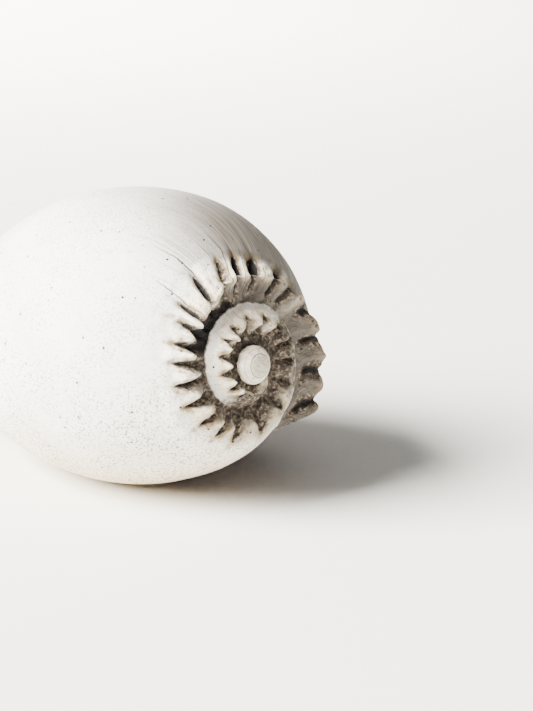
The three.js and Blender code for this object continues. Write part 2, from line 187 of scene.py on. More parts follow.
@dataclass
class Spines:
    """The crown's spines from the lip backwards.

    Each row holds the turn of a spine's ridge, the turn of the valley after it, extra reach in mm
    and fullness.
    """

    rows: tuple[tuple[float, float, float, float], ...] = (
        (-0.040, -0.026, 0.0, 2.3), (-0.007, 0.021, 0.9, 1.1), (0.045, 0.077, 2.8, 1.1),
        (0.091, 0.130, 1.7, 1.3), (0.157, 0.182, 1.0, 0.9), (0.203, 0.222, 0.4, 0.8),
        (0.246, 0.275, 0.6, 2.2), (0.297, 0.313, -0.4, 1.4), (0.326, 0.346, -1.4, 1.5),
        (0.378, 0.395, 0.8, 3.0), (0.417, 0.436, 0.6, 3.2), (0.448, 0.459, 1.2, 1.4),
        (0.477, 0.496, -1.4, 1.2), (0.513, 0.531, 0.2, 1.2), (0.556, 0.574, -0.6, 1.2),
        (0.601, 0.618, -1.0, 1.2), (0.648, 0.668, 0.6, 1.5), (0.693, 0.713, 0.4, 1.3),
        (0.733, 0.757, -0.8, 1.1), (0.798, 0.838, 0.6, 1.3), (0.880, 0.915, 0.0, 1.4),
        (0.945, 0.980, 0.0, 1.8), (1.013, 1.045, 0.6, 1.8), (1.071, 1.100, 0.0, 1.8),
        (1.126, 1.165, 0.4, 1.6), (1.200, 1.238, 1.0, 1.5), (1.272, 1.312, 1.2, 1.5),
        (1.352, 1.384, -0.6, 1.5), (1.408, 1.437, 0.8, 1.2), (1.465, 1.500, 0.6, 1.2),
        (1.535, 1.574, 0.6, 1.2), (1.612, 1.648, 0.8, 1.3), (1.678, 1.715, 0.8, 1.4),
        (1.749, 1.790, 0.0, 1.6), (1.830, 1.860, 0.0, 1.6),
    )
    per_turn: int = 20
    rounding: float = 0.14
    deep_from: float = 0.15
    deep_to: float = 0.45
    deep_factor: float = 2.4
    deep_flatness: int = 4
    shallow_turn: float = 0.33
    shallow_width: float = 0.03
    shallow_share: float = 0.55
    lean_turns: float = 0.03
    lean_starts: Range = (0.05, 0.18)
    lean_ends: Range = (0.36, 0.5)

    def top(self, turn: Array) -> Array:
        """1 at the top of the crown, where pits lie between the spines, 0 elsewhere."""
        middle, half = (self.deep_from + self.deep_to) / 2.0, (self.deep_to - self.deep_from) / 2.0
        return np.exp(-(((turn - middle) / half) ** self.deep_flatness))

    def shallow(self, turn: Array) -> Array:
        """Share by which the pits are filled with soil, greatest at one turn."""
        return self.shallow_share * bell(turn, self.shallow_turn, self.shallow_width)

    def depth(self, turn: Array) -> Array:
        """Depth of the valleys over the usual, greatest at the top of the crown."""
        return mix(1.0, self.deep_factor, self.top(turn)) * (1.0 - self.shallow(turn))

    def turns(self) -> Array:
        """Turn of every spine's ridge."""
        return np.array(self.rows)[:, 0]

    def lean(self, turn: Array) -> Array:
        """Turns by which a spine's root lies nearer to the lip than its tip."""
        return self.lean_turns * window(turn, self.lean_starts, self.lean_ends)

    def at(self, turn: Array) -> tuple[Array, Array]:
        """Ridge height share and extra reach at a turn.

        The ridge is 1 - d^fullness, d running from 0 on a spine to 1 in the valley beside it.

        Args:
            turn: turns to look up.

        Returns:
            Ridge share (1 on a spine, 0 in a valley) and extra reach in millimetres.
        """
        table = np.array(self.rows)
        after = np.clip(np.searchsorted(table[:, 0], turn, side="right"), 1, len(table) - 1)
        start, end = table[after - 1], table[after]
        low, valley, high = start[..., 0], start[..., 1], end[..., 0]
        before_valley = turn < valley
        from_ridge = np.where(before_valley, (turn - low) / (valley - low), (high - turn) / (high - valley))
        from_ridge = np.clip(from_ridge, 0.0, 1.0)
        rounded = np.hypot(from_ridge, self.rounding) - self.rounding
        rounded = rounded / (math.hypot(1.0, self.rounding) - self.rounding)
        fullness = np.where(before_valley, start[..., 3], end[..., 3])
        share = np.clip((turn - low) / (high - low), 0.0, 1.0)
        return 1.0 - rounded**fullness, mix(start[..., 2], end[..., 2], share)


@dataclass
class Coil:
    """The coiled wall of the shell. A profile point is one complex number, radius + i height."""

    spines: Spines = field(default_factory=Spines)
    body_length: float = 173.0
    body_radius: float = 77.7
    body_growth: float = 1.52
    egg_tip_power: float = 0.59
    egg_front_power: float = 1.0
    egg_cut: float = 0.8
    egg_bluntness: float = 24.0
    body_top_height: float = 4.15
    body_top_rise: float = 5.07
    coil_growth: float = 2.044
    crown_radius: float = 43.5
    crown_height: float = -2.55
    crown_rise: float = 3.56
    seam_radius: float = 30.9
    seam_height: float = -7.4
    seam_rise: float = 1.03
    notch_share: float = 0.55
    old_notch_share: float = 0.42
    young_notch_share: float = 0.24
    young_turns: Range = (0.42, 0.5)
    pit_skew: float = 0.75
    pit_bluntness: float = 0.7
    groove_share: float = 0.16
    groove_end: float = 0.84
    old_groove_end: float = 0.56
    front_groove_end: float = 0.66
    front_turns: Range = (0.56, 0.66)
    groove_fade: float = 1.3
    older_turns: Range = (0.98, 1.2)
    channel_sag: float = 4.0
    channel_starts: Range = (0.29, 0.36)
    channel_ends: Range = (0.46, 0.56)
    root_place: float = 0.115
    covered_place: float = 0.1
    cover_start: float = 0.55
    bend_places: Range = (0.1, 0.3)
    slope_step: float = 0.01
    groove_step: float = 0.02
    straight_pull: float = 0.33
    ramp_sag: float = 0.06
    ridge_sag_share: float = 0.4
    ramp_bend_radius: float = 0.45
    ramp_bend_height: float = 0.25
    round_pull: float = 0.67
    dome_radius: float = 7.9
    silt_depth: float = 2.8
    silt_turns: Range = (0.75, 1.35)
    spiral_turns: float = 2.0
    dome_height: float = 4.3
    dome_seam_share: float = 0.93
    dome_climb_turns: float = 0.2
    dome_equator_share: float = 0.45
    crown_fade_start: float = 1.76
    dome_start: float = 2.03
    mouth_start: float = -0.12
    pillar_radius: float = 9.0
    pillar_softness: float = 2.0
    coil_shortening: Triples = ((0.3, 0.0, 0.24), (0.2, 0.2, 1.2))

    def egg_share(self, place: Array) -> Array:
        """Egg radius over its greatest radius: z^a (1-z)^b, cut short and rounded at the front.

        Args:
            place: share of the way from the tip end to the front end.

        Returns:
            One share per place.
        """
        a, b = self.egg_tip_power, self.egg_front_power
        widest = a / (a + b)
        greatest = widest**a * (1.0 - widest) ** b
        inside = np.clip(place, 0.0, 1.0)
        egg = (inside * self.egg_cut) ** a * (1.0 - inside * self.egg_cut) ** b
        return egg / greatest * np.sqrt(1.0 - inside**self.egg_bluntness)

    def egg_height(self, turn: Array, place: Array) -> Array:
        """Height of an egg place: falls by the body length from tip end to front end."""
        return self.body_top_height + self.body_top_rise * turn * (1.0 - place) - self.body_length * place

    def body(self, turn: Array, place: Array) -> Array:
        """Outside of the body whorl: the egg, shrinking by the body growth each turn back."""
        radius = self.body_radius * self.body_growth ** -turn * self.egg_share(place)
        return radius + 1j * self.egg_height(turn, place)

    def inner_coil(self, turn: Array, place: Array) -> Array:
        """The coil before and the pillar: the greater radius of a shrinking egg and a rod, blended.

        Args:
            turn: turns of the points.
            place: egg places of the points.

        Returns:
            Profile points.
        """
        depth = np.maximum(turn - self.mouth_start - 1.0, 0.0)
        start = self.body_radius * self.body_growth ** -(self.mouth_start + 1.0)
        shortening = shortened(self.coil_shortening, depth)
        coil = start * self.coil_growth**-depth * self.egg_share(place / shortening)
        pillar = self.pillar_radius * np.sqrt(1.0 - place)
        blend = np.hypot(coil - pillar, self.pillar_softness * (1.0 - place))
        larger = (coil + pillar + blend) / 2.0
        return np.where(depth > 0.0, larger, coil) + 1j * self.egg_height(turn, place)

    def dome_path(self, place: Array) -> Array:
        """The seam's spiral (place below 0), then from the foot of the first whorl up to its pole.

        Args:
            place: turns before the foot, as negative numbers, or the share of the way up.

        Returns:
            Profile points.
        """
        turn = np.minimum(place, 0.0) + self.spiral_turns
        silt = self.silt_depth * ease(turn, *self.silt_turns)
        height = self.seam_height + self.seam_rise * turn + silt
        spiral = self.seam_radius * self.coil_growth**-turn + 1j * height
        rise = np.clip(place / self.dome_equator_share, 0.0, 1.0)
        side = mix(spiral.real, self.dome_radius, np.sqrt(rise)) + 1j * mix(spiral.imag, 0.0, rise)
        above = np.clip((place - self.dome_equator_share) / (1.0 - self.dome_equator_share), 0.0, 1.0)
        angle = above * math.pi / 2.0
        cap = self.dome_radius * np.cos(angle) + 1j * self.dome_height * np.sin(angle)
        return np.where(place < self.dome_equator_share, side, cap)

    def dome_place(self, turn: Array) -> Array:
        """Place on the dome path: even along the seam's spiral, then a climb that slows down.

        Args:
            turn: turns of the seam.

        Returns:
            One place per turn.
        """
        past = turn - self.spiral_turns
        climb = 1.0 - np.exp(-np.maximum(past, 0.0) / self.dome_climb_turns)
        return np.where(past <= 0.0, past, self.dome_seam_share * climb)

    def seam(self, turn: Array) -> Array:
        """Profile point of the seam at a turn."""
        return self.dome_path(self.dome_place(turn))

    def covered(self, turn: Array) -> Array:
        """0 where the spine roots lie open on the body, 1 where the next coil covers them."""
        return ease(turn, self.cover_start, 1.0 + self.mouth_start)

    def root(self, turn: Array) -> Array:
        """Root of the spines: on the egg, sliding up to the next coil's seam.

        Args:
            turn: turns of the spines.

        Returns:
            Profile points.
        """
        covered = self.covered(turn)
        open_root = self.body(turn, mix(self.root_place, self.covered_place, covered))
        return mix(open_root, self.seam(turn - 1.0), covered)

    def spine_length(self, turn: Array) -> Array:
        """Distance from a spine's root to its tip, without extra reach."""
        return np.abs(self.tip(turn) - self.root(turn))

    def tip(self, turn: Array) -> Array:
        """Tip of a spine before its extra reach."""
        return self.crown_radius * self.coil_growth**-turn + 1j * (self.crown_height + self.crown_rise * turn)

    def ridge_line(self, turn: Array, reach: Array, share: Array) -> Array:
        """Spine ridge from tip (0) to root (1), leaving the root along the egg's own slope.

        Args:
            turn: turns of the points.
            reach: extra reach of the spine in millimetres.
            share: share of the way from tip to root.

        Returns:
            Profile points.
        """
        root = self.root(turn)
        along = self.tip(turn) - root
        length = np.abs(along)
        tip = self.tip(turn) + along / length * reach
        above, below = self.covered_place - self.slope_step, self.covered_place + self.slope_step
        slope = self.body(turn, below) - self.body(turn, above)
        near_root = root - slope / np.abs(slope) * self.straight_pull * length
        return bezier(tip, mix(tip, root, self.straight_pull), near_root, root, share)

    def older(self, turn: Array) -> Array:
        """0 on the last coil, 1 on the coils before it, whose spines have shorter grooves."""
        return ease(turn, *self.older_turns)

    def notch(self, turn: Array, ridge: Array) -> Array:
        """Share of a spine's length by which the rim stands back in the valleys.

        Args:
            turn: turns of the points.
            ridge: ridge share, 1 on a spine and 0 in a valley.

        Returns:
            One share per point.
        """
        share = mix(self.notch_share, self.old_notch_share, self.older(turn))
        share = mix(self.young_notch_share, share, ease(turn, *self.young_turns))
        return share * (1.0 - ridge)

    def opening(self, turn: Array, ridge: Array, share: Array) -> Array:
        """How open a groove is: 1 in a valley at the rim, 0 on a ridge and past the groove's end.

        At the top of the crown it is a pit instead, deepest about halfway from rim to root.

        Args:
            turn: turns of the points.
            ridge: ridge share, 1 on a spine and 0 in a valley.
            share: share of the way from rim to root.

        Returns:
            One value per point.
        """
        notch = self.notch(turn, ridge)
        end = mix(self.groove_end, self.front_groove_end, ease(turn, *self.front_turns))
        end = mix(end, self.old_groove_end, self.older(turn))
        along = np.clip(share * (1.0 - notch) / (end - notch), 0.0, 1.0)
        pit = np.maximum(np.sin(math.pi * share**self.pit_skew), 0.0) ** self.pit_bluntness
        return (1.0 - ridge) * mix((1.0 - along) ** self.groove_fade, pit, self.spines.top(turn))

    def crown(self, turn: Array, ridge: Array, reach: Array, share: Array) -> Array:
        """Outside of the crown from rim (0) to root (1): valleys start lower and lie deeper.

        Args:
            turn: turns of the points.
            ridge: ridge share, 1 on a spine and 0 in a valley.
            reach: extra reach of the spine in millimetres.
            share: share of the way from rim to root.

        Returns:
            Profile points.
        """
        place = mix(self.notch(turn, ridge), 1.0, share)
        ahead = np.minimum(place + self.groove_step, 1.0)
        behind = ahead - self.groove_step
        along = self.ridge_line(turn, reach, ahead) - self.ridge_line(turn, reach, behind)
        inward = -1j * along / np.abs(along)
        groove = self.groove_share * self.spine_length(turn) * self.spines.depth(turn)
        return self.ridge_line(turn, reach, place) + inward * groove * self.opening(turn, ridge, share)

    def channel(self, turn: Array) -> Array:
        """1 where the ramp sinks into a deep shadowed channel, 0 elsewhere."""
        return window(turn, self.channel_starts, self.channel_ends)

    def ramp(self, turn: Array, ridge: Array, reach: Array, share: Array) -> Array:
        """The sunken ramp from seam (0) to rim (1), sagging most in the valleys.

        Args:
            turn: turns of the points.
            ridge: ridge share, 1 on a spine and 0 in a valley.
            reach: extra reach of the spine in millimetres.
            share: share of the way from seam to rim.

        Returns:
            Profile points.
        """
        seam = self.seam(turn)
        rim = self.crown(turn, ridge, reach, np.zeros_like(share))
        sag = self.ramp_sag * seam.real * (1.0 + self.ridge_sag_share - ridge)
        sag = sag + self.channel_sag * self.channel(turn)
        bend_radius = mix(seam.real, rim.real, self.ramp_bend_radius)
        bend = bend_radius + 1j * (mix(seam.imag, rim.imag, self.ramp_bend_height) - sag)
        near_seam, near_rim = mix(seam, bend, self.round_pull), mix(rim, bend, self.round_pull)
        return bezier(seam, near_seam, near_rim, rim, share)

    def flank(self, turn: Array, place: Array) -> Array:
        """The egg below the crown, pulled to the seam where the next coil covers it.

        Args:
            turn: turns of the points.
            place: egg places of the points.

        Returns:
            Profile points.
        """
        pull = self.root(turn) - self.body(turn, np.full_like(turn, self.covered_place))
        hold = self.covered(turn) * (1.0 - ease(place, *self.bend_places))
        return self.body(turn, place) + pull * hold


@dataclass
class Lip:
    """Edge of the mouth: how far it stands back, in turns, along the egg from tip to front."""

    line: tuple[tuple[float, float], ...] = (
        (0.00, 0.080), (0.13, 0.096), (0.22, 0.098), (0.31, 0.091), (0.39, 0.075), (0.47, 0.062),
        (0.55, 0.059), (0.63, 0.058), (0.71, 0.051), (0.78, 0.046), (0.85, 0.060), (0.91, 0.110),
        (1.00, 0.230),
    )
    crown_blend_turns: float = 0.22
    front_blend_turns: float = 0.6
    front_places: Range = (0.15, 0.6)
    thickness: float = 1.7
    wall_thickness: float = 2.6
    wall_blend_turns: float = 0.2
    thinning: float = 0.4
    thinning_start: float = 0.5

    def setback(self, place: Array) -> Array:
        """Setback at an egg place, eased between the listed places.

        Args:
            place: egg places to look up.

        Returns:
            Setback in turns.
        """
        table = np.array(self.line)
        after = np.clip(np.searchsorted(table[:, 0], place), 1, len(table) - 1)
        start, end = table[after - 1], table[after]
        return mix(start[..., 1], end[..., 1], ease(place, start[..., 0], end[..., 0]))

    def crown_setback(self) -> float:
        """Setback of the crown's rim."""
        return self.line[0][1]

    def lean(self, row_turn: Array, setback: Array, place: Array, mouth_start: float) -> Array:
        """Turn of a grid row at a column: rows near the mouth lean to follow the lip.

        Args:
            row_turn: turn of the row far from the mouth.
            setback: setback of the lip at the column.
            place: egg place of the column, 0 on the crown and ramp.
            mouth_start: turn of the first row.

        Returns:
            The turn to use there.
        """
        to_front = ease(place, *self.front_places)
        blend = mix(self.crown_blend_turns, self.front_blend_turns, to_front)
        share = np.clip((row_turn - mouth_start) / blend, 0.0, 1.0)
        return row_turn + setback * (1.0 - share)

    def wall(self, depth: Array, growth: float) -> Array:
        """Wall thickness at a depth behind the lip, thickening at first, then shrinking with the coil."""
        grown = mix(self.thickness, self.wall_thickness, ease(depth, 0.0, self.wall_blend_turns))
        return grown * growth ** (-self.thinning * np.maximum(depth - self.thinning_start, 0.0))


@dataclass
class Resting:
    """How the shell lies: the coiling axis raised at the tip, and its origin in the shared frame."""

    tip_raise: float = math.radians(6.9)
    turn_zero_angle: float = math.radians(-21.8)
    origin: tuple[float, float, float] = (81.420, -7.165, 64.237)

    def axis(self) -> tuple[float, float, float]:
        """Unit vector along the coiling axis towards the tip."""
        return math.cos(self.tip_raise), 0.0, math.sin(self.tip_raise)

    def place(self, profile: Array, turn: Array) -> Array:
        """Put profile points at their turns into the shared frame.

        The radius turns about the axis by the turn's angle; the axis then leans up by tip_raise.

        Args:
            profile: complex profile points in millimetres.
            turn: turn of each point.

        Returns:
            Points with last axis x, y, z in millimetres, none below the floor.
        """
        angle = self.turn_zero_angle + 2.0 * math.pi * turn
        side = profile.real * np.cos(angle)
        lift = profile.real * np.sin(angle)
        x = profile.imag * math.cos(self.tip_raise) - lift * math.sin(self.tip_raise)
        z = profile.imag * math.sin(self.tip_raise) + lift * math.cos(self.tip_raise)
        points = np.stack([x, side, z], axis=-1) + np.array(self.origin)
        points[..., 2] = np.maximum(points[..., 2], 0.0)
        return points


@dataclass(frozen=True)
class Patches:
    """Random patches: their size, their finer layers, and how their noise is brought to a range."""

    size_mm: float
    detail: float = 2.0
    edges: Range = (0.0, 1.0)
    ends: Range = (0.0, 1.0)
    roughness: float = 0.5

    def share(self, tree: Tree, where: Socket) -> Socket:
        """Noise of that size, brought from its edges to its end values.

        Args:
            tree: node tree of the material.
            where: coordinates in metres.

        Returns:
            One value, no further than the end values.
        """
        scale = 1 / (self.size_mm * MM)
        links = {"Vector": where, "Scale": scale, "Detail": self.detail, "Roughness": self.roughness}
        noise = add_node(tree, "ShaderNodeTexNoise", links)
        low, high = self.edges
        first, last = self.ends
        links = {VALUE: noise, FROM_LOW: low, FROM_HIGH: high, TO_LOW: first, TO_HIGH: last}
        return add_node(tree, "ShaderNodeMapRange", links)


@dataclass(frozen=True)
class BleachedShell:
    """Sun-bleached shell: chalky aragonite that lost its gloss, with dirt caked in its hollows.

    To the eye it is dull bright white with faint growth lines, pinholes and grey specks, and
    between the spines it holds crumbly grey-brown dirt with ochre stains. Painted shade turns the
    deepest hollows near black, and the film on the shaded flank and the top of the ramp is partly
    painted shade.
    """

    chalk: str = "#f2f0eb"
    cloud: str = "#dddad3"
    speck: str = "#6a645b"
    line: str = "#8f897e"
    pinhole: str = "#2b251e"
    cream: str = "#e8dabc"
    # Grey-brown film, also painted shade on the shaded flank and the top of the ramp; the darker thick colour
    # below is partly painted shade.
    film_and_shade: str = "#696259"
    thick_film_and_shade: str = "#372f27"
    crumb: str = "#a39684"
    dirt: str = "#43392e"
    # Near black: painted shade in the deepest hollows, slits and channel.
    void_shade: str = "#0a0705"
    ochre: str = "#7f6632"
    warm: str = "#dcc596"
    crack: str = "#3f382f"
    inside: str = "#7c5a3c"
    dark_inside: str = "#513824"
    roughness: float = 0.78
    dirt_roughness: float = 0.95
    ior: float = 1.53
    clouds: Patches = Patches(size_mm=26.0, detail=4.0, edges=(0.42, 0.72), ends=(0.0, 0.7))
    specks: Patches = Patches(size_mm=0.9, edges=(0.55, 0.61))
    speck_patches: Patches = Patches(size_mm=18.0, edges=(0.3, 0.6), ends=(0.3, 1.0))
    speck_height_mm: float = 75.0
    speck_strengths: Range = (0.5, 1.3)
    warm_height_mm: float = 40.0
    warm_share: float = 0.85
    stains: Patches = Patches(size_mm=3.5, detail=3.0, edges=(0.35, 0.62))
    brown_patches: Patches = Patches(
        size_mm=16.0, detail=6.0, edges=(0.25, 0.75), ends=(-0.45, 0.45), roughness=0.6
    )
    brown_edges: Range = (0.3, 0.75)
    brown_bands: Patches = Patches(size_mm=6.0, detail=5.0, edges=(0.3, 0.7))
    # Streaks of the film and its painted shade.
    film_and_shade_streaks: Patches = Patches(size_mm=3.0, detail=4.0, edges=(0.3, 0.7), ends=(0.8, 1.0))
    film_stretch: float = 0.12
    thick_film_and_shade_strengths: Range = (1.0, 2.0)
    fine_lines: Patches = Patches(size_mm=1.1, edges=(0.5, 0.75), ends=(0.0, 0.6))
    thin_cracks: Patches = Patches(size_mm=9.0, detail=3.0, ends=(-0.5, 0.5))
    thin_crack_edges: Range = (0.006, 0.016)
    line_stretch: float = 0.035
    cracks: Triples = (
        (0.393, 22.0, 0.5), (0.332, 15.0, 0.6), (0.299, 30.0, 0.35), (0.430, 10.0, 0.45),
        (0.280, 24.0, 0.25), (0.356, 20.0, 0.22), (0.314, 22.0, 0.25), (0.256, 26.0, 0.25),
    )
    crack_wander: Patches = Patches(size_mm=9.0, detail=3.0, ends=(-2.5 * MM, 2.5 * MM))
    crack_edges: Range = (0.5, 1.2)
    crack_fade_start: float = 0.3
    crack_strength: float = 0.95
    rings: Triples = ((6.9, 0.25, 0.3), (4.8, 0.3, 0.8), (3.5, 0.2, 0.2), (2.4, 0.2, 0.25))
    ring_base_mm: float = 0.5
    ring_core: float = 0.3
    pinhole_cell_mm: float = 5.0
    pinhole_radius_mm: float = 0.55
    pinhole_edges: Range = (0.6, 1.2)
    plain_cells: float = 0.45
    clods: Patches = Patches(size_mm=2.6, detail=5.0, edges=(0.25, 0.75), ends=(-0.28, 0.28))
    dirt_edges: Range = (0.25, 0.65)
    crumbs: Patches = Patches(size_mm=1.3, edges=(0.48, 0.66))
    thick_dirt: Range = (0.4, 0.8)
    # Amounts over which the dirt turns into near-black painted shade.
    void_shade_amounts: Range = (0.8, 1.2)
    grain_relief: Patches = Patches(size_mm=0.5, detail=3.0, ends=(0.0, 0.06))
    crumb_relief: Patches = Patches(size_mm=1.3, detail=4.0, ends=(0.0, 0.7))
    chip_relief: Patches = Patches(size_mm=2.2, detail=4.0, edges=(0.4, 0.56), ends=(-0.5, 0.0))
    line_depth_mm: float = 0.12
    pinhole_depth_mm: float = 0.3

    def material(self, turn_mm: float, resting: Resting) -> bpy.types.Material:
        """Build the node material: chalk, with dirt, stain and painted shade layers mixed over it in turn.

        Args:
            turn_mm: millimetres of the growth map in one turn.
            resting: where the coiling axis lies.

        Returns:
            A material that reads Object coordinates, the growth UV map and the painted layers.
        """
        made = bpy.data.materials.new("bleached_aragonite_shell")
        made.use_nodes = True
        tree = made.node_tree
        tree.nodes.clear()
        here = add_node(tree, "ShaderNodeTexCoord", out="Object")
        growth = add_node(tree, "ShaderNodeUVMap", uv_map=GROWTH_UV)
        masks = {
            mask: add_node(tree, "ShaderNodeAttribute", out="Fac", attribute_name=mask.value)
            for mask in Mask
        }
        # Film, and painted shade on the shaded flank and over the top of the ramp.
        film_and_shade = self.film_and_shade_share(tree, growth, masks[Mask.FILM_AND_SHADE])
        lines = self.growth_lines(tree, growth, masks[Mask.LINES])
        cracks = self.long_cracks(tree, growth, turn_mm)
        rings = self.dome_rings(tree, here, resting)
        cracks = add_node(tree, "ShaderNodeMath", {0: cracks, 1: rings}, operation="MAXIMUM")
        stain = self.stains.share(tree, here)
        stain = add_node(tree, "ShaderNodeMath", {0: stain, 1: masks[Mask.OCHRE]}, operation="MULTIPLY")
        # Dirt, whose deepest part is near-black painted shade in the hollows.
        dirt, depth = self.dirt_and_shade_cover(tree, here, masks[Mask.GRIME_AND_SHADE])
        pinholes = self.pinholes(tree, here)
        holes = add_node(tree, "ShaderNodeMath", {0: pinholes, 1: masks[Mask.PITS]}, operation="MAXIMUM")
        layers = (
            (masks[Mask.CREAM], linear_colour(self.cream)),
            (film_and_shade, self.film_and_shade_colour(tree, masks[Mask.FILM_AND_SHADE])),
            (lines, linear_colour(self.line)),
            (cracks, linear_colour(self.crack)),
            (stain, linear_colour(self.ochre)),
            (dirt, self.dirt_and_shade_colour(tree, here, depth)),
            (holes, linear_colour(self.pinhole)),
            (self.brown_share(tree, here, masks[Mask.INSIDE]), self.brown_colour(tree, growth)),
        )
        colour = self.chalk_colour(tree, here)
        for share, paint in layers:
            links = {0: share, FIRST: colour, SECOND: paint}
            colour = add_node(tree, "ShaderNodeMix", links, **COLOUR_MIX)
        roughness_links = {VALUE: dirt, TO_LOW: self.roughness, TO_HIGH: self.dirt_roughness}
        roughness = add_node(tree, "ShaderNodeMapRange", roughness_links)
        grooves = add_node(tree, "ShaderNodeMath", {0: lines, 1: cracks}, operation="MAXIMUM")
        relief = self.relief(tree, here, grooves, pinholes, dirt, masks[Mask.CREAM])
        shader = add_node(
            tree,
            "ShaderNodeBsdfPrincipled",
            {"Base Color": colour, "Roughness": roughness, "IOR": self.ior, "Normal": relief},
        )
        add_node(tree, "ShaderNodeOutputMaterial", {"Surface": shader}, out=None)
        return made

    def chalk_colour(self, tree: Tree, here: Socket) -> Socket:
        """Chalk white with broad grey clouds, warmer near the floor, with fine grey specks.

        The specks gather in patches and are denser low on the body.

        Args:
            tree: node tree of the material.
            here: Object coordinates.

        Returns:
            Colour socket.
        """
        height = add_node(tree, "ShaderNodeSeparateXYZ", {0: here}, out="Z")
        weak, strong = self.speck_strengths
        top = self.speck_height_mm * MM
        links = {VALUE: height, FROM_LOW: top, FROM_HIGH: 0.0, TO_LOW: weak, TO_HIGH: strong}
        dense = add_node(tree, "ShaderNodeMapRange", links)
        patch = self.speck_patches.share(tree, here)
        patch = add_node(tree, "ShaderNodeMath", {0: patch, 1: dense}, operation="MULTIPLY", use_clamp=True)
        speck = self.specks.share(tree, here)
        speck = add_node(tree, "ShaderNodeMath", {0: speck, 1: patch}, operation="MULTIPLY")
        links = {VALUE: height, FROM_HIGH: self.warm_height_mm * MM, TO_LOW: self.warm_share, TO_HIGH: 0.0}
        low = add_node(tree, "ShaderNodeMapRange", links)
        layers = ((self.clouds.share(tree, here), self.cloud), (low, self.warm), (speck, self.speck))
        colour = linear_colour(self.chalk)
        for share, paint in layers:
            links = {0: share, FIRST: colour, SECOND: linear_colour(paint)}
            colour = add_node(tree, "ShaderNodeMix", links, **COLOUR_MIX)
        return colour

    def brown_share(self, tree: Tree, here: Socket, painted: Socket) -> Socket:
        """Where the shell kept its brown: the painted layer with a border broken into patches.

        Args:
            tree: node tree of the material.
            here: Object coordinates.
            painted: painted strength of the brown.

        Returns:
            Share of brown.
        """
        patch = self.brown_patches.share(tree, here)
        amount = add_node(tree, "ShaderNodeMath", {0: patch, 1: painted}, operation="ADD")
        low, high = self.brown_edges
        return add_node(tree, "ShaderNodeMapRange", {VALUE: amount, FROM_LOW: low, FROM_HIGH: high})

    def brown_colour(self, tree: Tree, growth: Socket) -> Socket:
        """Brown with darker bands along the growth lines.

        Args:
            tree: node tree of the material.
            growth: UV socket, metres round the body and metres along the profile.

        Returns:
            Colour socket.
        """
        stretch = (1.0, self.film_stretch, 1.0)
        stretched = add_node(tree, "ShaderNodeVectorMath", {0: growth, 1: stretch}, operation="MULTIPLY")
        band = self.brown_bands.share(tree, stretched)
        links = {0: band, FIRST: linear_colour(self.inside), SECOND: linear_colour(self.dark_inside)}
        return add_node(tree, "ShaderNodeMix", links, **COLOUR_MIX)

    def film_and_shade_share(self, tree: Tree, growth: Socket, strength: Socket) -> Socket:
        """A thin grey-brown film in soft streaks along the growth lines, partly painted shade.

        Args:
            tree: node tree of the material.
            growth: UV socket, metres round the body and metres along the profile.
            strength: painted strength of the film and its painted shade.

        Returns:
            Share of the film and painted shade colour.
        """
        stretch = (1.0, self.film_stretch, 1.0)
        stretched = add_node(tree, "ShaderNodeVectorMath", {0: growth, 1: stretch}, operation="MULTIPLY")
        streak = self.film_and_shade_streaks.share(tree, stretched)
        return add_node(tree, "ShaderNodeMath", {0: streak, 1: strength}, operation="MULTIPLY")

    def film_and_shade_colour(self, tree: Tree, strength: Socket) -> Socket:
        """Colour of the film, darker and partly painted shade where it is painted past full cover.

        Args:
            tree: node tree of the material.
            strength: painted strength of the film and its painted shade.

        Returns:
            Colour socket.
        """
        low, high = self.thick_film_and_shade_strengths
        thick = add_node(tree, "ShaderNodeMapRange", {VALUE: strength, FROM_LOW: low, FROM_HIGH: high})
        links = {0: thick, FIRST: linear_colour(self.film_and_shade), SECOND: linear_colour(self.thick_film_and_shade)}
        return add_node(tree, "ShaderNodeMix", links, **COLOUR_MIX)

    def growth_lines(self, tree: Tree, growth: Socket, strength: Socket) -> Socket:
        """Fine growth lines and sparse thin cracks that run along the lip's old edges.

        Noise is stretched along the profile, so it varies mostly with the turn. A thin crack lies
        where the noise crosses its middle value.

        Args:
            tree: node tree of the material.
            growth: UV socket, metres round the body and metres along the profile.
            strength: painted strength of the lines.

        Returns:
            Share of line colour.
        """
        stretch = (1.0, self.line_stretch, 1.0)
        stretched = add_node(tree, "ShaderNodeVectorMath", {0: growth, 1: stretch}, operation="MULTIPLY")
        fine = self.fine_lines.share(tree, stretched)
        off_middle = self.thin_cracks.share(tree, stretched)
        off_middle = add_node(tree, "ShaderNodeMath", {0: off_middle}, operation="ABSOLUTE")
        low, high = self.thin_crack_edges
        links = {VALUE: off_middle, FROM_LOW: low, FROM_HIGH: high, TO_LOW: 1.0, TO_HIGH: 0.0}
        crack = add_node(tree, "ShaderNodeMapRange", links)
        both = add_node(tree, "ShaderNodeMath", {0: fine, 1: crack}, operation="MAXIMUM")
        return add_node(tree, "ShaderNodeMath", {0: both, 1: strength}, operation="MULTIPLY")

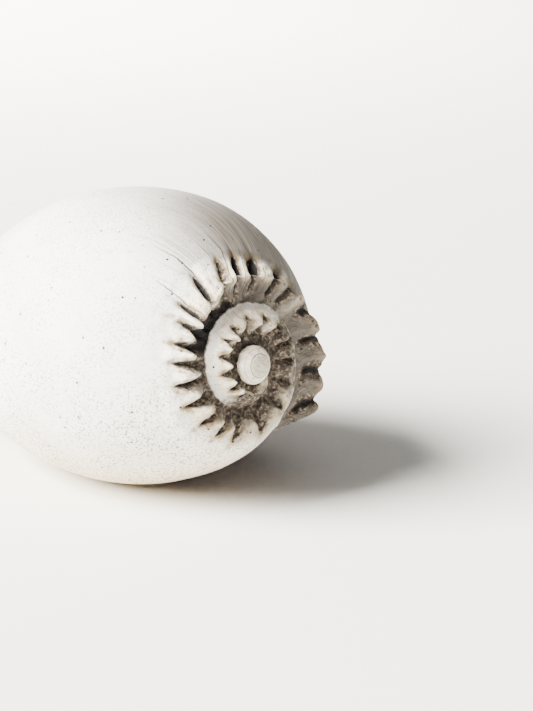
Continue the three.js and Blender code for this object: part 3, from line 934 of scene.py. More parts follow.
    def long_cracks(self, tree: Tree, growth: Socket, turn_mm: float) -> Socket:
        """The long cracks that run from valleys of the crown up over the body.

        Each is listed by turn, length and width in millimetres. It is a band round its turn of the
        growth map, wavering a little and fading at its far end.

        Args:
            tree: node tree of the material.
            growth: UV socket, metres round the body and metres from the spine roots.
            turn_mm: millimetres of the growth map in one turn.

        Returns:
            Share of crack colour.
        """
        wander = self.crack_wander.share(tree, growth)
        around = add_node(tree, "ShaderNodeSeparateXYZ", {0: growth}, out="X")
        along = add_node(tree, "ShaderNodeSeparateXYZ", {0: growth}, out="Y")
        around = add_node(tree, "ShaderNodeMath", {0: around, 1: wander}, operation="ADD")
        core, edge = self.crack_edges
        strength = self.crack_strength
        total = 0.0
        for turn, length, width in self.cracks:
            middle = turn * turn_mm * MM
            off = add_node(tree, "ShaderNodeMath", {0: around, 1: middle}, operation="SUBTRACT")
            off = add_node(tree, "ShaderNodeMath", {0: off}, operation="ABSOLUTE")
            low, high = core * width * MM, edge * width * MM
            links = {VALUE: off, FROM_LOW: low, FROM_HIGH: high, TO_LOW: 1.0, TO_HIGH: 0.0}
            band = add_node(tree, "ShaderNodeMapRange", links)
            low, high = self.crack_fade_start * length * MM, length * MM
            links = {VALUE: along, FROM_LOW: low, FROM_HIGH: high, TO_LOW: strength, TO_HIGH: 0.0}
            fade = add_node(tree, "ShaderNodeMapRange", links)
            band = add_node(tree, "ShaderNodeMath", {0: band, 1: fade}, operation="MULTIPLY")
            total = add_node(tree, "ShaderNodeMath", {0: band, 1: total}, operation="MAXIMUM")
        return total

    def dome_rings(self, tree: Tree, here: Socket, resting: Resting) -> Socket:
        """Thin rings round the first whorl, each listed by radius and width in mm, and strength.

        The distance from the coiling axis is the length of the cross product of axis and place.

        Args:
            tree: node tree of the material.
            here: Object coordinates.
            resting: where the coiling axis lies.

        Returns:
            Share of crack colour.
        """
        tip = tuple(length * MM for length in resting.origin)
        axis, base = resting.axis(), self.ring_base_mm * MM
        offset = add_node(tree, "ShaderNodeVectorMath", {0: here, 1: tip}, operation="SUBTRACT")
        links = {0: offset, 1: axis}
        along = add_node(tree, "ShaderNodeVectorMath", links, out="Value", operation="DOT_PRODUCT")
        above = add_node(tree, "ShaderNodeMath", {0: along, 1: base}, operation="GREATER_THAN")
        across = add_node(tree, "ShaderNodeVectorMath", links, operation="CROSS_PRODUCT")
        distance = add_node(tree, "ShaderNodeVectorMath", {0: across}, out="Value", operation="LENGTH")
        total = 0.0
        for radius, width, strength in self.rings:
            off = add_node(tree, "ShaderNodeMath", {0: distance, 1: radius * MM}, operation="SUBTRACT")
            off = add_node(tree, "ShaderNodeMath", {0: off}, operation="ABSOLUTE")
            low, high = self.ring_core * width * MM, width * MM
            links = {VALUE: off, FROM_LOW: low, FROM_HIGH: high, TO_LOW: strength, TO_HIGH: 0.0}
            band = add_node(tree, "ShaderNodeMapRange", links)
            total = add_node(tree, "ShaderNodeMath", {0: band, 1: total}, operation="MAXIMUM")
        return add_node(tree, "ShaderNodeMath", {0: total, 1: above}, operation="MULTIPLY")

    def pinholes(self, tree: Tree, here: Socket) -> Socket:
        """Tiny round borings: dots at the middles of some random cells.

        Args:
            tree: node tree of the material.
            here: Object coordinates.

        Returns:
            Share of hole colour.
        """
        links = {"Vector": here, "Scale": 1 / (self.pinhole_cell_mm * MM)}
        cells = add_node(tree, "ShaderNodeTexVoronoi", links, out="Distance")
        chance = add_node(tree, "ShaderNodeTexVoronoi", links, out="Color")
        chance = add_node(tree, "ShaderNodeSeparateColor", {0: chance}, out=0)
        chosen = add_node(tree, "ShaderNodeMath", {0: chance, 1: self.plain_cells}, operation="GREATER_THAN")
        core, edge = (share * self.pinhole_radius_mm / self.pinhole_cell_mm for share in self.pinhole_edges)
        links = {VALUE: cells, FROM_LOW: core, FROM_HIGH: edge, TO_LOW: 1.0, TO_HIGH: 0.0}
        dots = add_node(tree, "ShaderNodeMapRange", links)
        return add_node(tree, "ShaderNodeMath", {0: dots, 1: chosen}, operation="MULTIPLY")

    def dirt_and_shade_cover(self, tree: Tree, here: Socket, grime_and_shade: Socket) -> tuple[Socket, Socket]:
        """Where dirt and painted shade lie: the painted layer with an edge broken up by clods.

        Args:
            tree: node tree of the material.
            here: Object coordinates.
            grime_and_shade: painted layer.

        Returns:
            Share of dirt and painted shade, and its amount.
        """
        clod = self.clods.share(tree, here)
        amount = add_node(tree, "ShaderNodeMath", {0: clod, 1: grime_and_shade}, operation="ADD")
        low, high = self.dirt_edges
        share = add_node(tree, "ShaderNodeMapRange", {VALUE: amount, FROM_LOW: low, FROM_HIGH: high})
        return share, amount

    def dirt_and_shade_colour(self, tree: Tree, here: Socket, depth: Socket) -> Socket:
        """Crumbly soil, paler on its crumbs, with painted near-black shade where it lies deep.

        Args:
            tree: node tree of the material.
            here: Object coordinates.
            depth: how deep the dirt lies; the deepest is painted shade.

        Returns:
            Colour socket.
        """
        crumb = self.crumbs.share(tree, here)
        links = {0: crumb, FIRST: linear_colour(self.dirt), SECOND: linear_colour(self.crumb)}
        soil = add_node(tree, "ShaderNodeMix", links, **COLOUR_MIX)
        low, high = self.thick_dirt
        thick = add_node(tree, "ShaderNodeMapRange", {VALUE: depth, FROM_LOW: low, FROM_HIGH: high})
        links = {0: thick, FIRST: linear_colour(self.film_and_shade), SECOND: soil}
        soil = add_node(tree, "ShaderNodeMix", links, **COLOUR_MIX)
        low, high = self.void_shade_amounts
        deep = add_node(tree, "ShaderNodeMapRange", {VALUE: depth, FROM_LOW: low, FROM_HIGH: high})
        links = {0: deep, FIRST: soil, SECOND: linear_colour(self.void_shade)}
        return add_node(tree, "ShaderNodeMix", links, **COLOUR_MIX)

    def relief(
        self, tree: Tree, here: Socket, lines: Socket, pinholes: Socket, dirt: Socket, spine: Socket
    ) -> Socket:
        """Surface relief in millimetres: chalk grain and crumbs up, lines, holes and chips down.

        Args:
            tree: node tree of the material.
            here: Object coordinates.
            lines: share of line colour.
            pinholes: share of hole colour.
            dirt: share of dirt.
            spine: 1 on the spines, which are chipped.

        Returns:
            Normal socket.
        """
        forms = (
            (self.crumb_relief.share(tree, here), dirt),
            (lines, -self.line_depth_mm),
            (pinholes, -self.pinhole_depth_mm),
            (self.chip_relief.share(tree, here), spine),
        )
        height = self.grain_relief.share(tree, here)
        for form, amount in forms:
            links = {0: form, 1: amount, 2: height}
            height = add_node(tree, "ShaderNodeMath", links, operation="MULTIPLY_ADD")
        return add_node(tree, "ShaderNodeBump", {"Height": height, "Distance": MM})


@dataclass
class Surface:
    """A grid of places on the shell with what is painted on them."""

    turn: Array
    profile: Array
    masks: dict[Mask, Array]
    growth_turn: Array
    start_column: int = 0


@dataclass
class Spots:
    """What the weathering needs to know of each place on the outside.

    The ridge is 1 on a spine and 0 in a valley. The ramp runs from 0 at the seam to 1 at the rim, and
    the crown from 0 at the rim to 1 at the spine roots. The other shares are 1 where their word holds.
    """

    turn: Array
    profile: Array
    place: Array
    ridge: Array
    ramp: Array
    crown: Array
    on_ramp: Array
    on_crown: Array
    on_flank: Array
    dome: Array
    opened: Array
    older: Array
    channel: Array
    pit: Array
    filled: Array


@dataclass
class Weathering:
    """Where dirt, film, painted shade, stains, lines and lumps lie, and how strong they are.

    Pairs that end in turns, places, ramp, crown or mm are where an effect starts and is full, or
    starts to fade and is gone. A pair of strengths belongs to the two states that its method blends.
    """

    right_end_turns: Range = (0.28, 0.37)
    front_start_turns: Range = (0.56, 0.66)
    front_end_turns: Range = (0.9, 1.1)
    old_right_start_turns: Range = (0.9, 1.0)
    old_right_end_turns: Range = (1.14, 1.24)
    lip_end_turns: Range = (-0.03, 0.005)
    seam_dirt_ends: Range = (0.1, 0.35)
    rim_dirt_starts: Range = (0.75, 0.95)
    seam_dirt: Range = (0.95, 0.85)
    rim_dirt: Range = (0.25, 0.95)
    lip_valley_powers: Range = (0.6, 1.0)
    lip_valley_turns: Range = (0.03, 0.07)
    right_seam_dirt: float = 0.3
    right_rim_dirt: Range = (0.05, 1.35)
    right_ramp: Range = (0.05, 0.45)
    bare_valley: Range = (0.13, 0.02)
    bare_ramp: Range = (0.55, 0.85)
    bare_share: float = 0.6
    black_edges: Range = (0.3, 0.75)
    black_turns: Range = (0.36, 0.43)
    black_blur: float = 0.15
    # Painted shade: the deep channel under the overhanging spines is painted near black.
    channel_painted_shade: float = 1.7
    old_ramp_dirt: float = 0.78
    # Dirt in the grooves, high enough to turn near black as painted shade.
    groove_dirt_and_shade: float = 1.15
    # Painted shade: extra near black in the pits at the top of the crown.
    pit_painted_shade: float = 0.7
    groove_dirt_start: float = 0.1
    full_grooves: Range = (0.75, 0.5)
    seam_side_turns: Range = (0.8, 1.0)
    seam_side_crown: Range = (0.78, 1.0)
    seam_side_dirt: float = 0.8
    buried_turns: Range = (1.6, 1.76)
    buried_dirt: float = 0.9
    old_side_crown: Range = (0.5, 0.9)
    old_side_dirt: float = 0.65
    lip_end_dirt: float = 0.45
    dome_foot_mm: Range = (-2.4, -0.7)
    # Film and painted shade on the flank's upper right, the side away from the light.
    shade_start_turns: Range = (-0.06, 0.1)
    shade_end_turns: Range = (0.27, 0.41)
    flank_film_and_shade: float = 1.1
    flank_film_and_shade_places: Range = (0.16, 0.6)
    pale_face: Range = (0.165, 0.025)
    pale_face_share: float = 0.5
    worn_tip_turns: Range = (0.2, 0.24)
    worn_tip_shares: Range = (0.25, 0.85)
    worn_tip_ramp: Range = (0.6, 1.0)
    worn_tip_crown: Range = (0.6, 1.0)
    # Film on the right; past full cover it darkens, partly as painted shade.
    right_film_and_shade: float = 1.2
    rim_film: Range = (0.1, 0.5)
    rim_film_crown: Range = (0.35, 0.9)
    # Painted shade over the top of the ramp, the side away from the light, less on the ridges near the rim.
    top_start_turns: Range = (0.2, 0.26)
    top_end_turns: Range = (0.35, 0.4)
    top_painted_shade: float = 0.8
    top_ridge_share: float = 0.8
    top_ridge_ramp: Range = (0.45, 1.0)
    dome_cap_grey: float = 0.35
    dome_cap_mm: Range = (3.4, 5.2)
    fringe_start: Range = (0.02, 0.14)
    fringe_end: Range = (0.4, 0.8)
    fringe_ochre: float = 0.9
    smear_valley: Range = (0.5, 0.95)
    smear_middle: Range = (0.62, 0.25)
    smear_ochre: float = 0.75
    stained_ramp: Range = (0.55, 0.9)
    stained_crown: Range = (0.0, 0.5)
    tip_ochre: Range = (0.4, 0.65)
    line_start_turns: Range = (0.0, 0.14)
    line_end_turns: Range = (0.34, 0.48)
    line_places: Range = (0.13, 0.32)
    flank_lines: float = 0.6
    crown_lines: Range = (0.15, 0.6)
    clean_start_turns: Range = (0.4, 0.46)
    clean_end_turns: Range = (0.58, 0.66)
    spine_cream: Range = (0.75, 0.3)
    cream_crown: Range = (0.3, 1.0)
    dome_cream: float = 0.6
    brown_starts: Range = (0.85, 0.775)
    brown_places: Range = (0.12, 0.35)
    brown_blend_turns: float = 0.06
    brown_lip_turns: Range = (-0.06, 0.13)
    body_bumps: Range = (0.35, 30.0)
    spine_lumps: Range = (0.6, 4.5)
    dirt_clods: Range = (0.4, 2.3)
    dirt_crumbs: Range = (0.3, 1.2)
    spine_chips: Range = (0.5, 2.4)
    body_bump_places: Range = (0.12, 0.3)
    chip_crown: Range = (0.3, 0.9)

    def right(self, turn: Array) -> Array:
        """1 on the newest part of the last coil, at the right of the photograph."""
        return 1.0 - ease(turn, *self.right_end_turns)

    def front(self, turn: Array) -> Array:
        """1 on the part of the last coil that faces the camera from below."""
        return window(turn, self.front_start_turns, self.front_end_turns)

    def old_right(self, turn: Array) -> Array:
        """1 on the right-hand part of the second coil."""
        return window(turn, self.old_right_start_turns, self.old_right_end_turns)

    def lip_end(self, spots: Spots) -> Array:
        """1 on the ramp and crown close to the lip."""
        return (1.0 - ease(spots.turn, *self.lip_end_turns)) * ~spots.on_flank

    def ramp_dirt_and_shade(self, spots: Spots) -> Array:
        """Dirt on the ramp: thick at the seam, and out to the rim only in the valleys.

        On the right it lies in the valleys alone, and in the channel it is painted near black as shade.

        Args:
            spots: places on the outside.

        Returns:
            One value per place.
        """
        turn, ramp, valley, front = spots.turn, spots.ramp, 1.0 - spots.ridge, self.front(spots.turn)
        start, end = mix(*self.seam_dirt_ends, front), mix(*self.rim_dirt_starts, front)
        outward = np.clip((ramp - start) / (end - start), 0.0, 1.0)
        dirt = mix(mix(*self.seam_dirt, spots.older), mix(*self.rim_dirt, valley), outward)
        wide_valley = valley ** mix(*self.lip_valley_powers, ease(turn, *self.lip_valley_turns))
        right_rim = mix(*self.right_rim_dirt, wide_valley)
        right_dirt = mix(self.right_seam_dirt, right_rim, ease(ramp, *self.right_ramp))
        bare = bell(turn, *self.bare_valley) * (1.0 - ease(ramp, *self.bare_ramp))
        dirt = mix(dirt, right_dirt * (1.0 - self.bare_share * bare), self.right(turn))
        # Painted shade: the channel is painted near black from the seam outwards.
        black_edge = mix(*self.black_edges, ease(turn, *self.black_turns))
        black = np.clip((black_edge + self.black_blur - ramp) / (2.0 * self.black_blur), 0.0, 1.0)
        dirt = np.maximum(dirt, self.channel_painted_shade * spots.channel * black)
        return np.maximum(dirt, self.old_ramp_dirt * self.old_right(turn))

    def crown_dirt_and_shade(self, spots: Spots) -> Array:
        """Dirt and painted shade in the crown's open grooves, thickest in the pits that no soil fills.

        Args:
            spots: places on the outside.

        Returns:
            One value per place.
        """
        full = mix(*self.full_grooves, spots.pit)
        open_enough = ease(spots.opened, self.groove_dirt_start, full)
        return (self.groove_dirt_and_shade + self.pit_painted_shade * spots.pit) * open_enough * (1.0 - spots.filled)

    def grime_and_shade(self, spots: Spots) -> Array:
        """All caked dirt and painted shade: ramp, crown, the crown's foot along the seam, and the dome's
        foot.

        Args:
            spots: places on the outside.

        Returns:
            One value per place.
        """
        turn, crown = spots.turn, spots.crown
        grime_and_shade = np.where(spots.on_ramp, self.ramp_dirt_and_shade(spots), self.crown_dirt_and_shade(spots))
        seam_side = ease(turn, *self.seam_side_turns) * ease(crown, *self.seam_side_crown)
        buried = ease(turn, *self.buried_turns)
        old_side = self.old_right(turn) * (1.0 - ease(crown, *self.old_side_crown))
        grime_and_shade = np.maximum(grime_and_shade, self.seam_side_dirt * seam_side * spots.on_crown)
        grime_and_shade = np.maximum(grime_and_shade, self.buried_dirt * buried * spots.on_crown)
        grime_and_shade = np.maximum(grime_and_shade, self.old_side_dirt * old_side * spots.on_crown)
        grime_and_shade = np.maximum(grime_and_shade, self.lip_end_dirt * self.lip_end(spots))
        return mix(grime_and_shade, 1.0 - ease(spots.profile.imag, *self.dome_foot_mm), spots.dome)

    def film_and_shade(self, spots: Spots) -> Array:
        """Film and painted shade, by place.

        Film on the right and along the rim, film with painted shade on the shaded flank, painted
        shade over the top of the ramp, and grey on the dome's cap.

        Args:
            spots: places on the outside.

        Returns:
            One value per place.
        """
        turn, ridge, ramp, crown = spots.turn, spots.ridge, spots.ramp, spots.crown
        # Film and painted shade on the shaded flank.
        shade = window(turn, self.shade_start_turns, self.shade_end_turns)
        flank = self.flank_film_and_shade * shade * (1.0 - ease(spots.place, *self.flank_film_and_shade_places))
        pale = self.pale_face_share * ridge * bell(turn, *self.pale_face)
        worn = mix(*self.worn_tip_shares, ease(turn, *self.worn_tip_turns)) * ridge
        worn = worn * ease(ramp, *self.worn_tip_ramp)
        worn = worn * (1.0 - ease(crown, *self.worn_tip_crown))
        right = (self.right_film_and_shade * self.right(turn) - pale) * (1.0 - worn)
        rim = mix(*self.rim_film, self.front(turn)) * (1.0 - ease(crown, *self.rim_film_crown))
        # Painted shade over the top of the ramp, less on the ridges near the rim.
        top = window(turn, self.top_start_turns, self.top_end_turns) * spots.on_ramp
        top = top * (1.0 - self.top_ridge_share * ridge * ease(ramp, *self.top_ridge_ramp))
        upper = (np.maximum(right, rim) + self.top_painted_shade * top) * (1.0 - spots.older)
        film_and_shade = np.where(spots.on_flank, flank, upper) * (1.0 - spots.dome)
        # The dome's cap inside its rings is greyed.
        cap = (1.0 - ease(spots.profile.real, *self.dome_cap_mm)) * (spots.profile.imag > 0.0)
        return film_and_shade + self.dome_cap_grey * spots.dome * cap

    def ochre(self, spots: Spots) -> Array:
        """Ochre stains: round the grooves, smeared down the valleys and on the spine tips.

        Args:
            spots: places on the outside.

        Returns:
            One value per place.
        """
        fringe = window(spots.opened, self.fringe_start, self.fringe_end)
        smear = ease(1.0 - spots.ridge, *self.smear_valley) * bell(spots.crown, *self.smear_middle)
        smear = smear * (1.0 - spots.older)
        tips = ease(spots.ramp, *self.stained_ramp)
        tips = tips * (1.0 - ease(spots.crown, *self.stained_crown))
        ochre = np.maximum(self.fringe_ochre * fringe, self.smear_ochre * smear)
        ochre = np.maximum(ochre, mix(*self.tip_ochre, self.front(spots.turn)) * tips)
        return ochre * ~spots.on_flank * (1.0 - spots.dome)

    def lines(self, spots: Spots) -> Array:
        """Growth lines: on the flank above the crown, on the crown near its rim, and at the lip.

        Args:
            spots: places on the outside.

        Returns:
            One value per place.
        """
        flank = self.flank_lines * window(spots.turn, self.line_start_turns, self.line_end_turns)
        flank = flank * (1.0 - ease(spots.place, *self.line_places))
        crown = mix(*self.crown_lines, spots.ramp * (1.0 - spots.crown))
        lines = np.where(spots.on_flank, flank, crown) * (1.0 - spots.dome)
        return np.maximum(lines, self.lip_end(spots))

    def cream(self, spots: Spots) -> Array:
        """Cream tint of the spines and the dome, weaker on the clean spines at the left.

        Args:
            spots: places on the outside.

        Returns:
            One value per place.
        """
        clean = window(spots.turn, self.clean_start_turns, self.clean_end_turns)
        spines = mix(*self.spine_cream, clean) * (1.0 - ease(spots.crown, *self.cream_crown))
        return mix(np.where(spots.on_flank, 0.0, spines), self.dome_cream, spots.dome)

    def brown(self, spots: Spots) -> Array:
        """Brown of the mouth side: the end of the body's turn and the strip beside the lip.

        Args:
            spots: places on the outside.

        Returns:
            One value per place.
        """
        start = mix(*self.brown_starts, ease(spots.place, *self.brown_places))
        mouth_side = ease(spots.turn - start, 0.0, self.brown_blend_turns)
        lip_side = 1.0 - ease(spots.turn, *self.brown_lip_turns)
        return np.maximum(mouth_side, lip_side) * spots.on_flank

    def relief(self, spots: Spots, points: Array, grime_and_shade: Array) -> Array:
        """Bumps of the body, lumps and chips of the spines, clods and crumbs of the dirt.

        Each kind is listed by its height and the size of its noise cells, in millimetres.

        Args:
            spots: places on the outside.
            points: the same places in the shared frame, in millimetres.
            grime_and_shade: caked dirt, near black as painted shade where it runs high.

        Returns:
            Height over the smooth surface in millimetres.
        """
        kinds = (self.body_bumps, self.spine_lumps, self.dirt_clods, self.dirt_crumbs, self.spine_chips)
        bumps, lumps, clods, crumbs, chips = (
            height * lattice_noise(points, cell, seed) for seed, (height, cell) in enumerate(kinds, start=1)
        )
        on_spines = ~spots.on_flank * (1.0 - spots.dome)
        lift = bumps * ease(spots.place, *self.body_bump_places) + lumps * on_spines
        lift = lift + grime_and_shade * (clods + crumbs)
        return lift + chips * on_spines * (1.0 - ease(spots.crown, *self.chip_crown))


@dataclass
class MelonShell:
    """The whole shell: outside, crown, first whorl, mouth and hollow in one closed mesh."""

    coil: Coil = field(default_factory=Coil)
    lip: Lip = field(default_factory=Lip)
    resting: Resting = field(default_factory=Resting)
    finish: BleachedShell = field(default_factory=BleachedShell)
    weathering: Weathering = field(default_factory=Weathering)
    rows_per_spine: int = 22
    ramp_columns: int = 14
    crown_columns: int = 18
    flank_columns: int = 62
    flank_evenness: float = 0.6
    hollow_rows: int = 84
    hollow_turns: float = 2.3
    hollow_start_place: float = 0.18
    hollow_start_turns: float = 0.12
    hollow_shortening: Triples = ((0.07, 0.0, 0.3), (0.3, 1.0, 1.24), (0.3, 1.2, 2.3))
    corner_drop: float = 2.4
    corner_gap: float = 1.4
    roof_bend: float = 0.5
    roof_pull: float = 2.0 / 3.0
    inside_lines: float = 0.2
    hollow_roundness: float = 5.0
    last_turn: float = 3.6
    nucleus_offset: float = 0.9
    nucleus_turns_back: float = 0.75
    rim_reach: int = 4
    rim_rounding: int = 4
    root_reach: int = 8
    root_rounding: int = 14
    borings: Triples = (
        (-0.047, -0.21, 0.6), (0.0965, -0.07, 0.6), (0.107, -0.07, 0.7), (0.372, 0.22, 0.6),
        (0.656, 0.06, 0.7), (0.934, -0.57, 0.8), (0.984, -0.36, 0.7), (1.064, -0.14, 0.6),
        (1.147, -0.14, 0.8), (1.399, 0.06, 0.6), (1.469, 0.0, 0.6), (0.157, -0.10, 0.6),
        (0.203, -0.05, 0.6), (0.812, -0.08, 0.6), (0.741, 0.04, 0.6),
    )
    boring_depth: float = 1.2
    boring_edges: Range = (0.5, 1.2)
    least_step: float = 1e-6
    lean_fade: Range = (0.115, 0.42)
    ramp_straightness: float = 4.0
    ramp_straight_turns: Range = (-0.14, -0.04)
    lip_rows: int = 3
    least_lip_radius: float = 6.0

    @property
    def turn_rows(self) -> int:
        """Grid rows in one turn."""
        return self.rows_per_spine * self.coil.spines.per_turn

    @property
    def root_column(self) -> int:
        """Column of the spine roots."""
        return self.ramp_columns + self.crown_columns

    @property
    def end_column(self) -> int:
        """Column of the front end, where all rows meet."""
        return self.root_column + self.flank_columns

    def ramp_shares(self) -> Array:
        """Places across the ramp, from the seam up to just before the rim."""
        return np.arange(self.ramp_columns) / self.ramp_columns

    def crown_shares(self) -> Array:
        """Places down the crown from rim to root."""
        return np.arange(self.crown_columns + 1) / self.crown_columns

    def flank_places(self) -> Array:
        """Egg places below the roots, closer together at both ends.

        Returns:
            One place per flank column.
        """
        share = np.arange(1, self.flank_columns + 1) / self.flank_columns
        eased = (1.0 - np.cos(math.pi * share)) / 2.0
        return mix(self.coil.root_place, 1.0, mix(eased, share, self.flank_evenness))

    def row_turns(self) -> Array:
        """Turns of all grid rows, evenly spread between neighbouring spines of the first coil.

        Rows near the mouth are listed by the turn they would have without the lip's lean.

        Returns:
            One turn per row, from the lip backwards.
        """
        spine_turns = self.coil.spines.turns()
        starts = spine_turns[: self.coil.spines.per_turn, None]
        ends = spine_turns[1 : self.coil.spines.per_turn + 1, None]
        steps = np.arange(self.rows_per_spine)[None, :] / self.rows_per_spine
        turn = mix(starts, ends, steps).ravel()
        mouth, setback = self.coil.mouth_start, self.lip.crown_setback()
        unleaned = mouth + (turn - mouth - setback) / (1.0 - setback / self.lip.crown_blend_turns)
        first = np.where(turn < mouth + self.lip.crown_blend_turns, unleaned, turn)
        coils = math.ceil(self.last_turn - mouth) + 1
        rows = (first[None, :] + np.arange(coils)[:, None]).ravel()
        return rows[rows <= self.last_turn]

    def column_setbacks(self) -> tuple[Array, Array]:
        """Lip setback and egg place of every column but the front end's.

        Returns:
            Setback in turns, and egg place, which is 0 on the ramp and crown.
        """
        crown_place = self.coil.root_place * self.crown_shares()
        ramp = self.lip.crown_setback() * self.ramp_shares()
        flank = self.flank_places()[:-1]
        setback = np.concatenate([ramp, self.lip.setback(crown_place), self.lip.setback(flank)])
        place = np.concatenate([np.zeros(self.root_column + 1), flank])
        return setback, place

    def root_shares(self, place: Array) -> Array:
        """Share of the spines' lean per column: 0 at the rim, 1 at the roots, gone down the flank.

        Args:
            place: egg place of each column.

        Returns:
            One share per column.
        """
        column = np.arange(place.shape[1])[None, :]
        to_root = np.clip((column - self.ramp_columns) / self.crown_columns, 0.0, 1.0)
        return to_root * (1.0 - ease(place, *self.lean_fade))

    def outside(self, row_turn: Array, with_flank: bool) -> Surface:
        """Outside surface on a set of rows.

        Args:
            row_turn: turns of the rows.
            with_flank: also make the egg below the crown.

        Returns:
            Grid with one column per place across the coil.
        """
        coil, root = self.coil, self.root_column
        setback, place = self.column_setbacks()
        columns = len(place) if with_flank else root + 1
        setback, place = setback[None, :columns], place[None, :columns]
        ramp = np.clip(np.arange(columns)[None, :] / self.ramp_columns, 0.0, 1.0)
        straight = self.lip.crown_setback() * (1.0 - (1.0 - ramp) ** self.ramp_straightness)
        away = ease(row_turn[:, None], *self.ramp_straight_turns)
        setback = np.where(ramp < 1.0, mix(setback, straight, away), setback)
        turn = self.lip.lean(row_turn[:, None], setback, place, coil.mouth_start)
        rim_setback = self.lip.crown_setback()
        spine_turn = self.lip.lean(row_turn[:, None], rim_setback, np.zeros(1), coil.mouth_start)
        ridge, reach = coil.spines.at(spine_turn)
        turn = turn - coil.spines.lean(spine_turn) * self.root_shares(place)
        crown_turn = turn[:, self.ramp_columns : root + 1]
        raised = np.concatenate(
            [
                coil.ramp(turn[:, : self.ramp_columns], ridge, reach, self.ramp_shares()[None, :]),
                coil.crown(crown_turn, ridge, reach, self.crown_shares()[None, :]),
            ],
            axis=1,
        )
        across = np.arange(root + 1)[None, :] / root
        upper = turn[:, : root + 1]
        flat = coil.dome_path(mix(coil.dome_place(upper), coil.dome_place(upper - 1.0), across))
        fade = ease(upper, coil.crown_fade_start, coil.dome_start)
        profile = mix(raised, flat, fade)
        if with_flank:
            flank = coil.flank(turn[:, root + 1 :], place[:, root + 1 :])
            profile = np.concatenate([profile, flank], axis=1)
        self.round_columns(profile, self.ramp_columns, self.rim_reach, self.rim_rounding)
        if with_flank:
            self.round_columns(profile, root, self.root_reach, self.root_rounding)
        growth_turn = np.broadcast_to(row_turn[:, None], turn.shape)
        surface = Surface(turn, profile, {}, growth_turn, root if with_flank else 0)
        return self.weather(surface, ridge * (1.0 - fade[:, :1]), place)

    @staticmethod
    def round_columns(profile: Array, middle: int, reach: int, passes: int) -> None:
        """Round a crease by averaging each column with its neighbours, 1-2-1, some passes.

        Args:
            profile: grid that is changed in place.
            middle: column of the crease.
            reach: columns to each side that take part.
            passes: number of times.
        """
        low, high = middle - reach, middle + reach + 1
        for _ in range(passes):
            sides = profile[:, low - 1 : high - 1] + profile[:, low + 1 : high + 1]
            profile[:, low:high] = (2.0 * profile[:, low:high] + sides) / 4.0

    def spots(self, surface: Surface, ridge: Array, place: Array) -> Spots:
        """Gather what the weathering needs to know of each place.

        Args:
            surface: smooth outside grid.
            ridge: spine ridge share of each row.
            place: egg place of each column.

        Returns:
            Arrays that fit the grid.
        """
        coil, turn = self.coil, surface.turn
        column = np.arange(turn.shape[1])[None, :]
        on_ramp, on_flank = column < self.ramp_columns, column > self.root_column
        on_crown = ~(on_ramp | on_flank)
        crown = np.clip((column - self.ramp_columns) / self.crown_columns, 0.0, 1.0)
        return Spots(
            turn=turn,
            profile=surface.profile,
            place=place,
            ridge=ridge,
            ramp=np.clip(column / self.ramp_columns, 0.0, 1.0),
            crown=crown,
            on_ramp=on_ramp,
            on_crown=on_crown,
            on_flank=on_flank,
            dome=ease(turn, coil.crown_fade_start, coil.dome_start),
            opened=coil.opening(turn, ridge, crown) * on_crown,
            older=coil.older(turn),
            channel=coil.channel(turn),
            pit=coil.spines.top(turn),
            filled=coil.spines.shallow(turn),
        )

    def weather(self, surface: Surface, ridge: Array, place: Array) -> Surface:
        """Paint dirt, painted shade, stains and lines by place, and roughen the surface to suit.

        Args:
            surface: smooth outside grid.
            ridge: spine ridge share of each row.
            place: egg place of each column.

        Returns:
            The same surface with masks and relief.
        """
        spots, wear = self.spots(surface, ridge, place), self.weathering
        points = self.resting.place(surface.profile, surface.turn)
        # The grime layer also paints near-black shade in the deepest hollows, and the film layer paints shade
        # on the shaded flank and the top of the ramp.
        surface.masks = {
            Mask.GRIME_AND_SHADE: wear.grime_and_shade(spots),
            Mask.FILM_AND_SHADE: wear.film_and_shade(spots),
            Mask.OCHRE: wear.ochre(spots),
            Mask.CREAM: wear.cream(spots),
            Mask.LINES: wear.lines(spots),
            Mask.PITS: self.bored(points, surface.turn),
            Mask.INSIDE: wear.brown(spots),
        }
        tangent = np.gradient(surface.profile, axis=1)
        outward = 1j * tangent / np.maximum(np.abs(tangent), self.least_step)
        lift = wear.relief(spots, points, surface.masks[Mask.GRIME_AND_SHADE])
        lift = lift - self.boring_depth * surface.masks[Mask.PITS]
        surface.profile = surface.profile + outward * lift
        return surface

    def bored(self, points: Array, turn: Array) -> Array:
        """Round borings in the spines, each listed by turn, place across and radius in mm.

        The place across is -1 on the seam, 0 on the rim and 1 at the spine root.

        Args:
            points: grid of places in millimetres.
            turn: turns of the grid.

        Returns:
            1 inside a boring, 0 away from it.
        """
        holes = np.zeros(turn.shape)
        rim_turn = turn[:, self.ramp_columns]
        core, edge = self.boring_edges
        for hole_turn, across, radius in self.borings:
            if rim_turn[0] <= hole_turn <= rim_turn[-1]:
                row = int(np.argmin(np.abs(rim_turn - hole_turn)))
                steps = self.ramp_columns if across < 0.0 else self.crown_columns
                middle = points[row, round(self.ramp_columns + across * steps)]
                distance = np.linalg.norm(points - middle, axis=-1)
                holes = np.maximum(holes, 1.0 - ease(distance, core * radius, edge * radius))
        return holes

    def hollow_end(self, depth: Array) -> Array:
        """Egg place where the hollow ends, drawing back as the coil goes deeper."""
        return shortened(self.hollow_shortening, depth)

    def hollow_start(self, depth: Array) -> Array:
        """Egg place where the hollow's roof meets its wall, moving down just behind the lip."""
        inward = ease(depth, 0.0, self.hollow_start_turns)
        return mix(self.flank_places()[0], self.hollow_start_place, inward)

